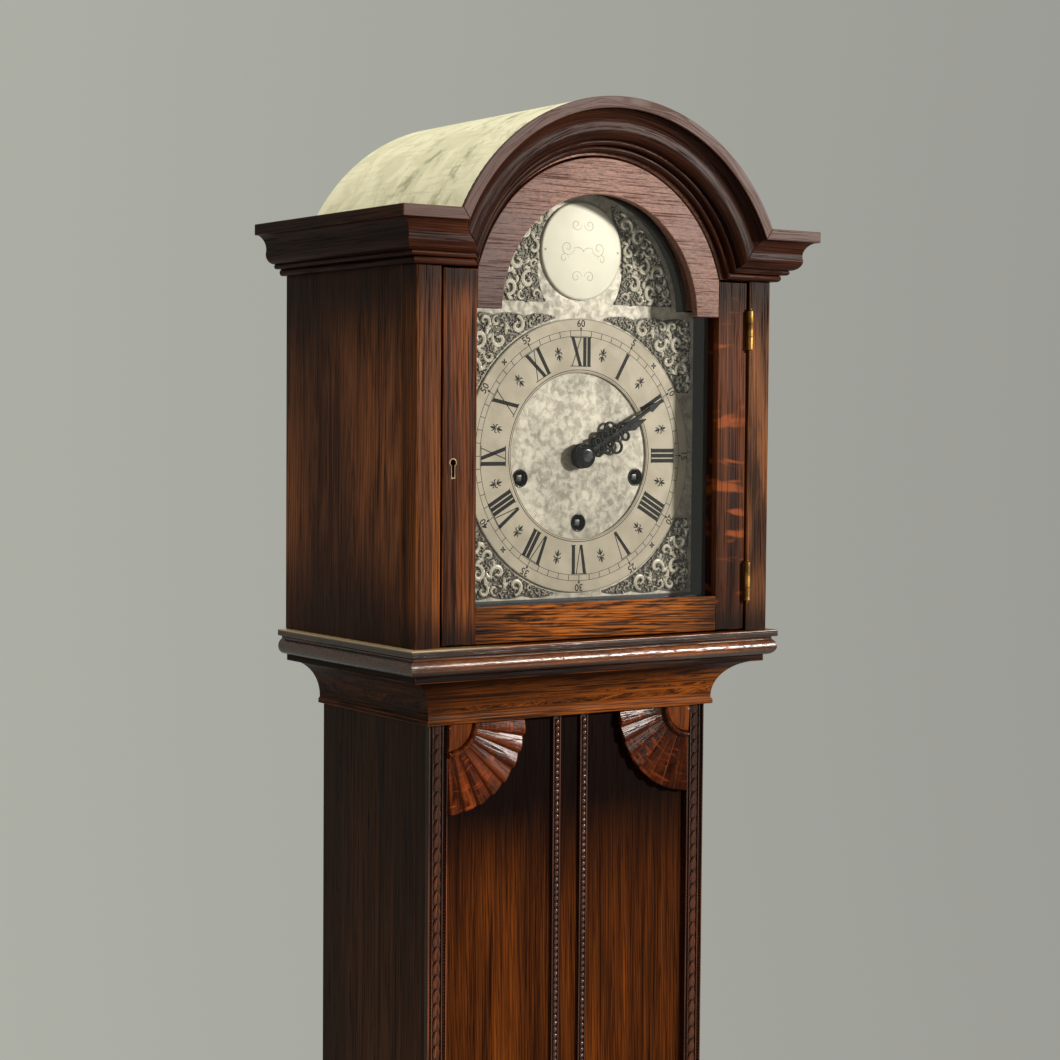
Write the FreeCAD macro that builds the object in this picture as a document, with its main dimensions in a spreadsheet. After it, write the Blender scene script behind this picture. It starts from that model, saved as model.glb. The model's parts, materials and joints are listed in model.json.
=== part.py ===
"""Longcase clock of grandmother size: oak case, arched hood with a glazed door, silvered
break-arch dial, three-train movement with motion work and pendulum.

Millimetres. +Z is up, the front faces -Y, and the origin is on the floor under the middle
of the case. Every length below is a cell of the Sizes sheet; lengths worked out from them
are kept on the Levels set, and the pieces are bound to both.
"""
import FreeCAD, Part
import Sketcher
import math
import os

Vector = FreeCAD.Vector
Rotation = FreeCAD.Rotation
Placement = FreeCAD.Placement

doc = FreeCAD.newDocument("LongcaseClock")
sheet = doc.addObject("Spreadsheet::Sheet", "Sizes")
levels = doc.addObject("App::VarSet", "Levels")


class Size:
    """A length that carries its number and the expression it is bound by."""

    def __init__(self, number, text):
        self.number = float(number)
        self.text = text

    def __add__(self, other):
        other = size(other)
        return Size(self.number + other.number, f"({self.text} + {other.text})")

    def __radd__(self, other):
        return size(other) + self

    def __sub__(self, other):
        other = size(other)
        return Size(self.number - other.number, f"({self.text} - {other.text})")

    def __rsub__(self, other):
        return size(other) - self

    def __mul__(self, factor):
        factor = size(factor)
        return Size(self.number * factor.number, f"({self.text} * {factor.text})")

    def __rmul__(self, factor):
        return self * factor

    def __truediv__(self, divisor):
        divisor = size(divisor)
        return Size(self.number / divisor.number, f"({self.text} / {divisor.text})")

    def __neg__(self):
        return Size(-self.number, f"(0 - {self.text})")


def size(value):
    """A plain number as a Size."""
    if isinstance(value, Size):
        return value
    return Size(value, repr(float(value)))


def leg(hypotenuse, other):
    """The third side of a right triangle."""
    hypotenuse = size(hypotenuse)
    other = size(other)
    number = math.sqrt(hypotenuse.number ** 2 - other.number ** 2)
    return Size(number, f"sqrt({hypotenuse.text} ^ 2 - {other.text} ^ 2)")


def span(one, other):
    """The hypotenuse over two legs."""
    one = size(one)
    other = size(other)
    number = math.hypot(one.number, other.number)
    return Size(number, f"sqrt({one.text} ^ 2 + {other.text} ^ 2)")


def crown_radius(half, rise):
    """The radius of a shallow crown that rises over a half width."""
    return (half * half + size(rise) * rise) / (2 * size(rise))


def cell(name, value):
    """A driving length: one row of the sheet."""
    row = cell.row = getattr(cell, "row", 0) + 1
    sheet.set(f"A{row}", name)
    sheet.set(f"B{row}", str(value))
    sheet.setAlias(f"B{row}", name)
    return Size(value, f"Sizes.{name}")


def level(name, value):
    """A worked-out length, kept under its own name."""
    levels.addProperty("App::PropertyFloat", name)
    levels.setExpression(name, value.text)
    return Size(value.number, f"Levels.{name}")


# Heights, from the floor up
plinth_height = cell("plinth_height", 400)
waist_height = cell("waist_height", 36)
trunk_length = cell("trunk_length", 764)
cove_height = cell("cove_height", 35)
bed_height = cell("bed_height", 17)
hood_height = cell("hood_height", 271)
arch_rise = cell("arch_rise", 212)
dial_rise = cell("dial_rise", 119)
skirting_height = cell("skirting_height", 90)

# The case in plan
hood_width = cell("hood_width", 282)
hood_depth = cell("hood_depth", 168)
hood_overhang = cell("hood_overhang", 29.5)
plinth_step = cell("plinth_step", 20)
skirting_projection = cell("skirting_projection", 12)
side_thickness = cell("side_thickness", 14)
panel_thickness = cell("panel_thickness", 12)
panel_recess = cell("panel_recess", 4)
strip_depth = cell("strip_depth", 5)
back_thickness = cell("back_thickness", 8)
back_inset = cell("back_inset", 5)
top_thickness = cell("top_thickness", 10)
roof_thickness = cell("roof_thickness", 4)
roof_drop = cell("roof_drop", 6)

# Mouldings
cornice_height = cell("cornice_height", 33.5)
cornice_projection = cell("cornice_projection", 24)
cornice_fillet = cell("cornice_fillet", 7.3)
cornice_bead = cell("cornice_bead", 4.4)
cornice_bead_step = cell("cornice_bead_step", 4.6)
arch_radius = cell("arch_radius", 136)
bed_projection = cell("bed_projection", 6)
bed_seat = cell("bed_seat", 12)
bed_fillet = cell("bed_fillet", 4.4)
cove_lip = cell("cove_lip", 4.2)
cove_fillet = cell("cove_fillet", 4.5)
waist_lip = cell("waist_lip", 5)
bead_strip_width = cell("bead_strip_width", 6)
bead_strip_spread = cell("bead_strip_spread", 22)
bead_strip_depth = cell("bead_strip_depth", 3)
fan_radius = cell("fan_radius", 59)
fan_depth = cell("fan_depth", 6)
fan_eye = cell("fan_eye", 20)
flute_radius = cell("flute_radius", 4.2)

# The hood door
frame_stile = cell("frame_stile", 18)
door_thickness = cell("door_thickness", 18)
door_gap = cell("door_gap", 1.5)
hinge_gap = cell("hinge_gap", 2.4)
door_rail = cell("door_rail", 23)
sight_width = cell("sight_width", 193)
sight_radius = cell("sight_radius", 78)
glass_thickness = cell("glass_thickness", 2)
glass_lip = cell("glass_lip", 6)
rebate = cell("rebate", 5)
leaf_thickness = cell("leaf_thickness", 0.8)
leaf_width = cell("leaf_width", 13)
hinge_length = cell("hinge_length", 26)
hinge_spread = cell("hinge_spread", 85)
knuckle_radius = cell("knuckle_radius", 2.1)
hinge_pin_radius = cell("hinge_pin_radius", 1.1)
running_fit = cell("running_fit", 0.07)
lock_width = cell("lock_width", 20)
lock_height = cell("lock_height", 44)
lock_depth = cell("lock_depth", 6)
bolt_height = cell("bolt_height", 12)
bolt_depth = cell("bolt_depth", 3)
bolt_length = cell("bolt_length", 15)
keyhole_edge = cell("keyhole_edge", 7.5)
keyhole_drop = cell("keyhole_drop", 7)

# The dial and hands
dial_setback = cell("dial_setback", 25.5)
dial_width = cell("dial_width", 190)
dial_thickness = cell("dial_thickness", 2)
dial_shoulder = cell("dial_shoulder", 4)
dial_arch = cell("dial_arch", 80)
mask_thickness = cell("mask_thickness", 3)
mask_arch = cell("mask_arch", 110)
mask_hole = cell("mask_hole", 72)
ring_radius = cell("ring_radius", 90)
ring_inner = cell("ring_inner", 54.5)
ring_thickness = cell("ring_thickness", 1.5)
boss_radius = cell("boss_radius", 32)
boss_rise = cell("boss_rise", 41)
spandrel_thickness = cell("spandrel_thickness", 2)
winding_spread = cell("winding_spread", 46.5)
winding_drop = cell("winding_drop", 14.4)
going_drop = cell("going_drop", 44)
winding_hole = cell("winding_hole", 5)
hand_thickness = cell("hand_thickness", 1.5)
hand_gap = cell("hand_gap", 1.2)
minute_reach = cell("minute_reach", 75)
hour_reach = cell("hour_reach", 58)
hand_nut_radius = cell("hand_nut_radius", 8)
hand_nut_depth = cell("hand_nut_depth", 3.6)

# The movement
dial_foot = cell("dial_foot", 20)
foot_radius = cell("foot_radius", 2.5)
plate_width = cell("plate_width", 156)
plate_top = cell("plate_top", 78)
plate_bottom = cell("plate_bottom", 80)
plate_thickness = cell("plate_thickness", 2.5)
plate_spacing = cell("plate_spacing", 52)
pillar_radius = cell("pillar_radius", 4)
pillar_edge = cell("pillar_edge", 8)
seat_thickness = cell("seat_thickness", 16)
arbor_radius = cell("arbor_radius", 3.5)
pivot_radius = cell("pivot_radius", 2.5)
centre_radius = cell("centre_radius", 2.5)
cannon_radius = cell("cannon_radius", 3.6)
pipe_radius = cell("pipe_radius", 5.2)
motion_distance = cell("motion_distance", 20)
ratchet_radius = cell("ratchet_radius", 13)
barrel_length = cell("barrel_length", 26)
wheel_thickness = cell("wheel_thickness", 2)
escape_radius = cell("escape_radius", 14)
pallet_drop = cell("pallet_drop", 1.15)
rear_room = cell("rear_room", 50.5)
pendulum_gap = cell("pendulum_gap", 17)
pendulum_length = cell("pendulum_length", 248)
rod_radius = cell("rod_radius", 2.5)
bob_radius = cell("bob_radius", 35)
bob_depth = cell("bob_depth", 18)
crutch_length = cell("crutch_length", 56)
gong_length = cell("gong_length", 420)
gong_radius = cell("gong_radius", 2)
gong_pitch = cell("gong_pitch", 11)
gong_start = cell("gong_start", 28)
hammer_length = cell("hammer_length", 40)
hammer_gap = cell("hammer_gap", 2)
hammer_radius = cell("hammer_radius", 4)
button_length = cell("button_length", 40)

# Counts and angles
FLUTES = 7
HANDS_MINUTE = 60.0
HANDS_HOUR = 65.0
RATCHET_TEETH = 24
ESCAPE_TEETH = 30
CANNON_TEETH, MINUTE_WHEEL_TEETH = 12, 36
MINUTE_PINION_TEETH, HOUR_WHEEL_TEETH = 10, 40
GREAT_TEETH, PINION_TEETH = 52, 8
GONGS = 5

# Worked-out levels
z_waist = plinth_height
z_trunk = level("z_trunk", z_waist + waist_height)
z_cove = level("z_cove", z_trunk + trunk_length)
z_bed = level("z_bed", z_cove + cove_height)
z_hood = level("z_hood", z_bed + bed_height)
z_dial = level("z_dial", z_hood + dial_rise)
z_arch = level("z_arch", z_hood + arch_rise)
z_top = level("z_top", z_hood + hood_height)
z_cornice = level("z_cornice", z_top - cornice_height)
z_soffit = level("z_soffit", z_top - top_thickness)
hood_half = level("hood_half", hood_width / 2)
hood_inner = level("hood_inner", hood_half - side_thickness)
trunk_half = level("trunk_half", hood_half - hood_overhang)
trunk_inner = level("trunk_inner", trunk_half - side_thickness)
plinth_half = level("plinth_half", trunk_half + plinth_step)
plinth_inner = level("plinth_inner", plinth_half - side_thickness)
y_back = level("y_back", (hood_depth + cornice_projection) / 2)
y_front = level("y_front", cornice_projection - y_back)
y_hood = level("y_hood", y_front + door_thickness)
y_trunk = level("y_trunk", y_front + hood_overhang)
y_panel = level("y_panel", y_trunk + panel_recess)
y_panel_back = level("y_panel_back", y_panel + panel_thickness)
y_plinth = level("y_plinth", y_trunk - plinth_step)
y_rear = level("y_rear", y_back - back_inset)
y_rear_inner = level("y_rear_inner", y_rear - back_thickness)
roof_outer = level("roof_outer", arch_radius - roof_drop)
roof_inner = level("roof_inner", roof_outer - roof_thickness)
soffit_rise = level("soffit_rise", z_soffit - z_arch)
cornice_rise = level("cornice_rise", z_cornice - z_arch)
sight_half = level("sight_half", sight_width / 2)
door_left = level("door_left", frame_stile + door_gap - hood_half)
door_right = level("door_right", hood_half - frame_stile - hinge_gap)
door_low = level("door_low", z_hood + door_gap)
door_high = level("door_high", z_cornice - door_gap)
sight_low = level("sight_low", door_low + door_rail)
door_arch = level("door_arch", span(sight_half, door_high - z_arch))
y_glass = level("y_glass", y_front + glass_lip)
y_glass_back = level("y_glass_back", y_glass + glass_thickness)
y_dial = level("y_dial", y_front + dial_setback)
y_dial_back = level("y_dial_back", y_dial + dial_thickness)
y_ring = level("y_ring", y_dial - ring_thickness)
y_hour = level("y_hour", y_ring - hand_gap)
y_minute = level("y_minute", y_hour - hand_thickness - hand_gap)
y_nut = level("y_nut", y_minute - hand_thickness)
y_plate = level("y_plate", y_dial_back + dial_foot)
y_inside = level("y_inside", y_plate + plate_thickness)
y_plate_two = level("y_plate_two", y_inside + plate_spacing)
y_behind = level("y_behind", y_plate_two + plate_thickness)
rear_fit = level("rear_fit", (y_rear_inner - y_behind) / rear_room)
y_pendulum = level("y_pendulum", y_behind + rear_fit * pendulum_gap)
z_seat = level("z_seat", z_dial - plate_bottom)
z_seat_low = level("z_seat_low", z_seat - seat_thickness)
centre_wheel = level("centre_wheel", motion_distance * 0.87)
third_wheel = level("third_wheel", motion_distance * 0.8)
third_reach = level("third_reach", centre_wheel * (1 + 1 / 8))
fourth_reach = level("fourth_reach", third_wheel * (1 + 1 / 7.5))
escape_rise = level("escape_rise", (third_reach + fourth_reach) * 0.955)
anchor_rise = level("anchor_rise", escape_radius * 1.614)
z_escape = level("z_escape", z_dial + escape_rise)
z_anchor = level("z_anchor", z_escape + anchor_rise)
z_rear = level("z_rear", z_seat + 2 * door_gap)
zero = size(0)


def bind(obj, path, value):
    """Sets one property of an object from a Size."""
    obj.setExpression(path, size(value).text)


def put(obj, x, y, z, axis=Vector(0, 0, 1), angle=0.0):
    """Places an object at a point given by Sizes, turned about an axis."""
    spot = [size(value) for value in (x, y, z)]
    obj.Placement = Placement(Vector(*[value.number for value in spot]), Rotation(axis, angle))
    for letter, value in zip("xyz", spot):
        bind(obj, f".Placement.Base.{letter}", value)
    return obj


def box(name, xs, ys, zs):
    """A board between three pairs of limits."""
    obj = doc.addObject("Part::Box", name)
    for path, (low, high) in zip(("Length", "Width", "Height"), (xs, ys, zs)):
        bind(obj, path, size(high) - low)
    return put(obj, xs[0], ys[0], zs[0])


def rod(name, radius, start, end, axis):
    """A round bar along one axis between two points that differ only along it."""
    obj = doc.addObject("Part::Cylinder", name)
    turn = {"X": (Vector(0, 1, 0), 90), "Y": (Vector(1, 0, 0), -90), "Z": (Vector(0, 0, 1), 0)}
    index = "XYZ".index(axis)
    bind(obj, "Radius", radius)
    bind(obj, "Height", size(end) - start[index])
    return put(obj, *start, *turn[axis])


def cut(name, base, *tools):
    """The base less the tools."""
    obj = doc.addObject("Part::Cut", name)
    obj.Base = base
    obj.Tool = tools[0] if len(tools) == 1 else fuse(name + "_tools", *tools)
    return obj


def fuse(name, *parts):
    """Several shapes made one."""
    obj = doc.addObject("Part::MultiFuse", name)
    obj.Shapes = list(parts)
    return obj


def common(name, one, other):
    """What two shapes share."""
    obj = doc.addObject("Part::Common", name)
    obj.Base = one
    obj.Tool = other
    return obj


def arc_between(start, end, radius, side):
    """The minor arc from start to end; side +1 keeps the centre on the left of the way."""
    middle = (start + end) * 0.5
    chord = end - start
    rise = math.sqrt(max(radius ** 2 - (chord.Length / 2) ** 2, 0.0))
    left = Vector(-chord.y, chord.x, 0) / chord.Length
    centre = middle + left * rise * side
    circle = Part.Circle(centre, Vector(0, 0, 1), radius)
    first = math.atan2(start.y - centre.y, start.x - centre.x)
    last = math.atan2(end.y - centre.y, end.x - centre.x)
    if side < 0:
        first, last = last, first
    if last <= first:
        last += 2 * math.pi
    return Part.ArcOfCircle(circle, first, last)


def draw(body, plane, points, arcs):
    """A closed, fully held sketch through the points, with arcs on the named edges."""
    sketch = body.newObject("Sketcher::SketchObject", body.Name + "_outline")
    support = [face for face in body.Origin.OriginFeatures if face.Role == plane][0]
    sketch.AttachmentSupport = [(support, "")]
    sketch.MapMode = "FlatFace"
    points = [(size(across), size(up)) for across, up in points]
    spots = [Vector(across.number, up.number, 0) for across, up in points]
    count = len(points)
    starts = []
    ends = []
    for index in range(count):
        start = spots[index]
        end = spots[(index + 1) % count]
        if index in arcs:
            radius, side = arcs[index]
            sketch.addGeometry(arc_between(start, end, size(radius).number, side))
            starts.append(1 if side > 0 else 2)
            ends.append(2 if side > 0 else 1)
        else:
            sketch.addGeometry(Part.LineSegment(start, end))
            starts.append(1)
            ends.append(2)
    held = []
    texts = []
    for index in range(count):
        after = (index + 1) % count
        held.append(Sketcher.Constraint("Coincident", index, ends[index], after, starts[after]))
    for index, (across, up) in enumerate(points):
        for kind, value in (("DistanceX", across), ("DistanceY", up)):
            texts.append((len(held), value.text))
            held.append(Sketcher.Constraint(kind, -1, 1, index, starts[index], value.number))
    for index, (radius, side) in arcs.items():
        texts.append((len(held), size(radius).text))
        held.append(Sketcher.Constraint("Radius", index, size(radius).number))
    sketch.addConstraint(held)
    for index, text in texts:
        sketch.setExpression(f"Constraints[{index}]", text)
    return sketch


def pad(name, plane, points, start, end, arcs=None):
    """An outline drawn on a plane and padded along that plane's axis from start to end."""
    body = doc.addObject("PartDesign::Body", name)
    sketch = draw(body, plane, points, arcs or {})
    feature = body.newObject("PartDesign::Pad", name + "_pad")
    feature.Profile = sketch
    feature.Reversed = plane == "XZ_Plane"
    bind(feature, "Length", size(end) - start)
    along = {"XY_Plane": (zero, zero, start), "XZ_Plane": (zero, start, zero)}
    return put(body, *along.get(plane, (start, zero, zero)))


def turned(name, plane, points, axis, spot, arcs=None):
    """An outline turned about one of its body's axes, with the axis through a point."""
    body = doc.addObject("PartDesign::Body", name)
    sketch = draw(body, plane, points, arcs or {})
    feature = body.newObject("PartDesign::Revolution", name + "_turn")
    feature.Profile = sketch
    line = [item for item in body.Origin.OriginFeatures if item.Role == axis][0]
    feature.ReferenceAxis = (line, [""])
    feature.Angle = 360
    return put(body, *spot)


nodes = []


def node(label, *solids):
    """Names a finished piece, or one made of several like solids."""
    obj = solids[0]
    if len(solids) > 1:
        obj = doc.addObject("Part::Compound", label)
        obj.Links = list(solids)
    obj.Label = label
    nodes.append(obj)
    return obj


def mirrored(values):
    """A pair of limits on the other side of the middle."""
    return (-size(values[1]), -size(values[0]))


def moulding(name, profile, arcs, half, front, projection, low, high):
    """Three lengths of one profile round the front and both sides, mitred at the corners.

    The profile is given as (projection, height) from its inner bottom edge.
    """
    outer = half + projection
    face = front - projection
    run = [(front - out, low + up) for out, up in profile]
    turned_arcs = {index: (radius, -side) for index, (radius, side) in arcs.items()}
    length = pad(name + "_front_run", "YZ_Plane", run, -outer, outer, turned_arcs)
    plan = [(-outer, face), (outer, face), (half, front), (-half, front)]
    pieces = [common(name + "_front", length, pad(name + "_front_plan", "XY_Plane", plan, low, high))]
    for word, sign in (("left", -1), ("right", 1)):
        run = [(sign * (half + out), low + up) for out, up in profile]
        turned_arcs = {index: (radius, sign * side) for index, (radius, side) in arcs.items()}
        length = pad(f"{name}_{word}_run", "XZ_Plane", run, face, y_back, turned_arcs)
        plan = [(sign * outer, face), (sign * half, front), (sign * half, y_back), (sign * outer, y_back)]
        flat = pad(f"{name}_{word}_plan", "XY_Plane", plan, low, high)
        pieces.append(common(f"{name}_{word}", length, flat))
    return pieces


# The plinth: a plain box with its lid, standing on the floor
sides = (plinth_inner, plinth_half)
floor_to_lid = (zero, plinth_height)
y_plinth_back = level("y_plinth_back", y_plinth + side_thickness)
node(
    "plinth_panels",
    box("plinth_front", (-plinth_half, plinth_half), (y_plinth, y_plinth_back), floor_to_lid),
    box("plinth_left", mirrored(sides), (y_plinth_back, y_back), floor_to_lid),
    box("plinth_right", sides, (y_plinth_back, y_back), floor_to_lid),
    box("plinth_lid", (-plinth_inner, plinth_inner), (y_plinth_back, y_rear_inner),
        (plinth_height - side_thickness, plinth_height)),
)

skirting_cap = skirting_projection / 4
skirting = [
    (zero, zero),
    (skirting_projection, zero),
    (skirting_projection, skirting_height * 0.76),
    (skirting_cap, skirting_height - skirting_cap),
    (skirting_cap, skirting_height),
    (zero, skirting_height),
]
node("plinth_skirting", *moulding("skirting", skirting, {2: (skirting_projection * 1.6, -1)},
                                  plinth_half, y_plinth, skirting_projection, zero, skirting_height))

waist_projection = plinth_step + 2
waist = [
    (zero, zero),
    (waist_projection, zero),
    (waist_projection, waist_lip),
    (waist_projection - 2, waist_lip + 1),
    (waist_lip, waist_height - waist_lip),
    (waist_lip, waist_height),
    (zero, waist_height),
]
node("waist_moulding", *moulding("waist", waist, {3: (waist_height * 0.85, -1)},
                                 trunk_half, y_trunk, waist_projection, z_waist, z_trunk))

# The trunk: two side boards, a panel let in between them and carved strips down the corners
trunk_rise = (z_waist, z_bed)
sides = (trunk_inner, trunk_half)
y_side = y_trunk + strip_depth
node(
    "trunk_side_panels",
    box("trunk_left", mirrored(sides), (y_side, y_back), trunk_rise),
    box("trunk_right", sides, (y_side, y_back), trunk_rise),
)
node(
    "trunk_front_panel",
    box("trunk_front", (-trunk_inner, trunk_inner), (y_panel, y_panel_back), trunk_rise),
)
node(
    "carved_edge_strips",
    box("strip_left", mirrored(sides), (y_trunk, y_side), trunk_rise),
    box("strip_right", sides, (y_trunk, y_side), trunk_rise),
)


def bead_strip(name, middle):
    """A half-round strip standing on the trunk panel."""
    half = bead_strip_width / 2
    flank = bead_strip_depth / 3
    outline = [
        (middle - half, y_panel),
        (middle - half, y_panel - flank),
        (middle + half, y_panel - flank),
        (middle + half, y_panel),
    ]
    bulge = span(half, bead_strip_depth - flank) * span(half, bead_strip_depth - flank)
    radius = bulge / (2 * (bead_strip_depth - flank))
    return pad(name, "XY_Plane", outline, z_trunk, z_cove, {1: (radius, 1)})


node("beaded_strips", bead_strip("bead_strip_left", -bead_strip_spread / 2),
     bead_strip("bead_strip_right", bead_strip_spread / 2))


def fan(name, sign):
    """A quarter fan in a top corner of the panel: fluted rays round a plain eye."""
    corner = sign * trunk_inner
    inner = corner - sign * fan_radius
    outline = [(corner, z_cove), (inner, z_cove), (corner, z_cove - fan_radius)]
    slab = pad(name + "_slab", "XZ_Plane", outline, y_panel - fan_depth, y_panel, {1: (fan_radius, sign)})
    tools = []
    for ray in range(FLUTES):
        angle = (ray + 0.5) * 90.0 / FLUTES
        flute = doc.addObject("Part::Cone", f"{name}_flute_{ray}")
        bind(flute, "Radius1", flute_radius * 0.3)
        bind(flute, "Radius2", flute_radius)
        bind(flute, "Height", fan_radius + flute_radius - fan_eye)
        across = -sign * math.cos(math.radians(angle))
        down = -math.sin(math.radians(angle))
        turn = Rotation(Vector(0, 0, 1), Vector(across, 0, down))
        x = corner + fan_eye * across
        z = z_cove + fan_eye * down
        put(flute, x, y_panel - fan_depth, z, turn.Axis, math.degrees(turn.Angle))
        tools.append(flute)
    return cut(name, slab, *tools)


node("fan_carvings", fan("fan_left", -1), fan("fan_right", 1))

# Cove and bed mouldings that carry the hood out over the trunk
cove_reach = hood_overhang - 1
cove = [
    (zero, zero),
    (cove_lip, zero),
    (cove_lip, cove_lip * 0.7),
    (cove_lip * 0.75, cove_lip),
    (cove_reach - 2, cove_height - cove_fillet),
    (cove_reach, cove_height - cove_fillet),
    (cove_reach, cove_height),
    (zero, cove_height),
]
cove_radius = span(cove_reach - 2 - cove_lip * 0.75, cove_height - cove_fillet - cove_lip) * 0.73
node("cove_moulding", *moulding("cove", cove, {3: (cove_radius, -1)},
                                trunk_half, y_trunk, cove_reach, z_cove, z_bed))

torus_height = bed_height - bed_fillet - 2
bed_reach = bed_seat + bed_projection
bed = [
    (zero, zero),
    (bed_seat + 0.5, zero),
    (bed_reach - 3, torus_height),
    (bed_reach - 3, bed_height - bed_fillet),
    (bed_reach, bed_height - bed_fillet),
    (bed_reach, bed_height),
    (zero, bed_height),
]
node("bed_moulding", *moulding("bed", bed, {1: (torus_height * 0.54, 1)},
                               hood_half - bed_seat, y_front + bed_seat, bed_reach, z_bed, z_hood))

rail_half = hood_half - bed_seat
rails = (trunk_inner, rail_half)
rail_rise = (z_bed, z_hood)
node(
    "hood_base_rails",
    box("base_front", (-rail_half, rail_half), (y_front + bed_seat, y_panel_back), rail_rise),
    box("base_left", mirrored(rails), (y_panel_back, y_back), rail_rise),
    box("base_right", rails, (y_panel_back, y_back), rail_rise),
)

# The back of plinth and trunk in one board, wide at the foot and again behind the hood
button_x = -hood_inner / 2
button_z = z_rear - 12
button_half = size(5)
outline = [
    (-plinth_inner, zero),
    (plinth_inner, zero),
    (plinth_inner, z_waist),
    (trunk_inner, z_waist),
    (trunk_inner, z_hood),
    (hood_inner, z_hood),
    (hood_inner, z_rear - door_gap),
    (-hood_inner, z_rear - door_gap),
    (-hood_inner, z_hood),
    (-trunk_inner, z_hood),
    (-trunk_inner, z_waist),
    (-plinth_inner, z_waist),
]
button_depth = back_inset * 0.5
screw_fit = size(0.2)
node(
    "back_board",
    fuse(
        "back_with_screw",
        pad("back_panel", "XZ_Plane", outline, y_rear_inner, y_rear),
        rod(
            "button_screw",
            1.6,
            (button_x, y_rear - 2, button_z),
            y_rear + button_depth + 2 * screw_fit + 1,
            "Y",
        ),
        rod("button_head", 3.4, (button_x, y_rear + button_depth + 2 * screw_fit, button_z),
            y_rear + button_depth + 2 * screw_fit + 1.4, "Y"),
    ),
)
node(
    "turn_button",
    cut(
        "button",
        box(
            "button_blank",
            (button_x - button_length / 2, button_x + button_length / 2),
            (y_rear + screw_fit, y_rear + screw_fit + button_depth),
            (button_z - button_half, button_z + button_half),
        ),
        rod("button_bore", 1.6 + running_fit, (button_x, y_rear - 1, button_z), y_back, "Y"),
    ),
)

# The hood: sides, front stiles, arched boards, top flats and the bent roof
sides = (hood_inner, hood_half)
node(
    "hood_side_panels",
    box("hood_left", mirrored(sides), (y_hood, y_back), (z_hood, z_soffit)),
    box("hood_right", sides, (y_hood, y_back), (z_hood, z_soffit)),
)
stiles = (hood_half - frame_stile, hood_half)
node(
    "hood_front_stiles",
    box("frame_left", mirrored(stiles), (y_front, y_hood), (z_hood, z_cornice)),
    box("frame_right", stiles, (y_front, y_hood), (z_hood, z_cornice)),
)
head_radius = level("head_radius", door_arch + door_gap)
head_x = leg(head_radius, cornice_rise)
roof_x = leg(roof_inner, soffit_rise)
outline = [
    (-hood_half, z_cornice),
    (-head_x, z_cornice),
    (head_x, z_cornice),
    (hood_half, z_cornice),
    (hood_half, z_soffit),
    (roof_x, z_soffit),
    (-roof_x, z_soffit),
    (-hood_half, z_soffit),
]
front_board = pad(
    "arch_front", "XZ_Plane", outline, y_front, y_hood, {1: (head_radius, -1), 5: (roof_inner, 1)}
)
outline = [
    (-hood_inner, z_cornice),
    (hood_inner, z_cornice),
    (hood_inner, z_soffit),
    (roof_x, z_soffit),
    (-roof_x, z_soffit),
    (-hood_inner, z_soffit),
]
rear_board = pad("arch_rear", "XZ_Plane", outline, y_rear_inner, y_rear, {3: (roof_inner, 1)})
node("hood_arch_boards", front_board, rear_board)

outer_x = leg(roof_outer, soffit_rise)
outline = [(outer_x, z_soffit), (-outer_x, z_soffit), (-roof_x, z_soffit), (roof_x, z_soffit)]
node(
    "roof_barrel",
    pad("roof", "XZ_Plane", outline, y_front, y_back, {0: (roof_outer, 1), 2: (roof_inner, -1)}),
)

flat_x = leg(roof_outer, z_top - z_arch)
flats = []
for word, sign in (("left", -1), ("right", 1)):
    outline = [
        (sign * hood_half, z_soffit),
        (sign * hood_half, z_top),
        (sign * flat_x, z_top),
        (sign * outer_x, z_soffit),
    ]
    flats.append(pad(f"flat_{word}", "XZ_Plane", outline, y_front, y_back, {2: (roof_outer, -sign)}))
node("hood_top_boards", *flats)

# The cornice: one ogee profile, over the arch, along the shoulders and back along the sides
bead_low = level("bead_low", cornice_bead * 0.15)
bead_two = level("bead_two", cornice_bead + cornice_bead * 0.72)
ogee_foot = level("ogee_foot", cornice_bead_step * 2 + 1)
ogee_top = level("ogee_top", cornice_projection - 2.5)
ogee_turn = level("ogee_turn", (ogee_foot + ogee_top) / 2)
ogee_rise = level("ogee_rise", cornice_height - cornice_fillet)
ogee_middle = level("ogee_middle", bead_two + (ogee_rise - bead_two) * 0.36)
cornice = [
    (zero, zero),
    (cornice_bead_step - 0.8, zero),
    (cornice_bead_step - 0.4, cornice_bead),
    (cornice_bead_step * 2 - 1, cornice_bead),
    (cornice_bead_step * 2 - 0.4, bead_two),
    (ogee_foot, bead_two),
    (ogee_turn, ogee_middle),
    (ogee_top, ogee_rise),
    (cornice_projection, ogee_rise),
    (cornice_projection, cornice_height),
    (zero, cornice_height),
]
swell = span(ogee_turn - ogee_foot, ogee_middle - bead_two) * 0.75
hollow = span(ogee_top - ogee_turn, ogee_rise - ogee_middle) * 0.75
cornice_arcs = {
    1: (cornice_bead * 0.56, 1),
    3: (cornice_bead * 0.42, 1),
    5: (swell, 1),
    6: (hollow, -1),
}
arch_inner = level("arch_inner", arch_radius - cornice_height)
shoulder_low = level("shoulder_low", z_cornice - z_arch)
mitre_low = level("mitre_low", leg(arch_inner, shoulder_low))
mitre_high = level("mitre_high", leg(arch_radius, z_top - z_arch))
y_cornice = level("y_cornice", y_front - cornice_projection)
cornice_half = level("cornice_half", hood_half + cornice_projection)
profile = [(y_front - out, arch_inner + up) for out, up in cornice]
flipped = {index: (radius, -side) for index, (radius, side) in cornice_arcs.items()}
arch_turning = turned("cornice_turning", "YZ_Plane", profile, "Y_Axis", (zero, zero, z_arch), flipped)
crown = z_arch + arch_radius + 10
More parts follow.
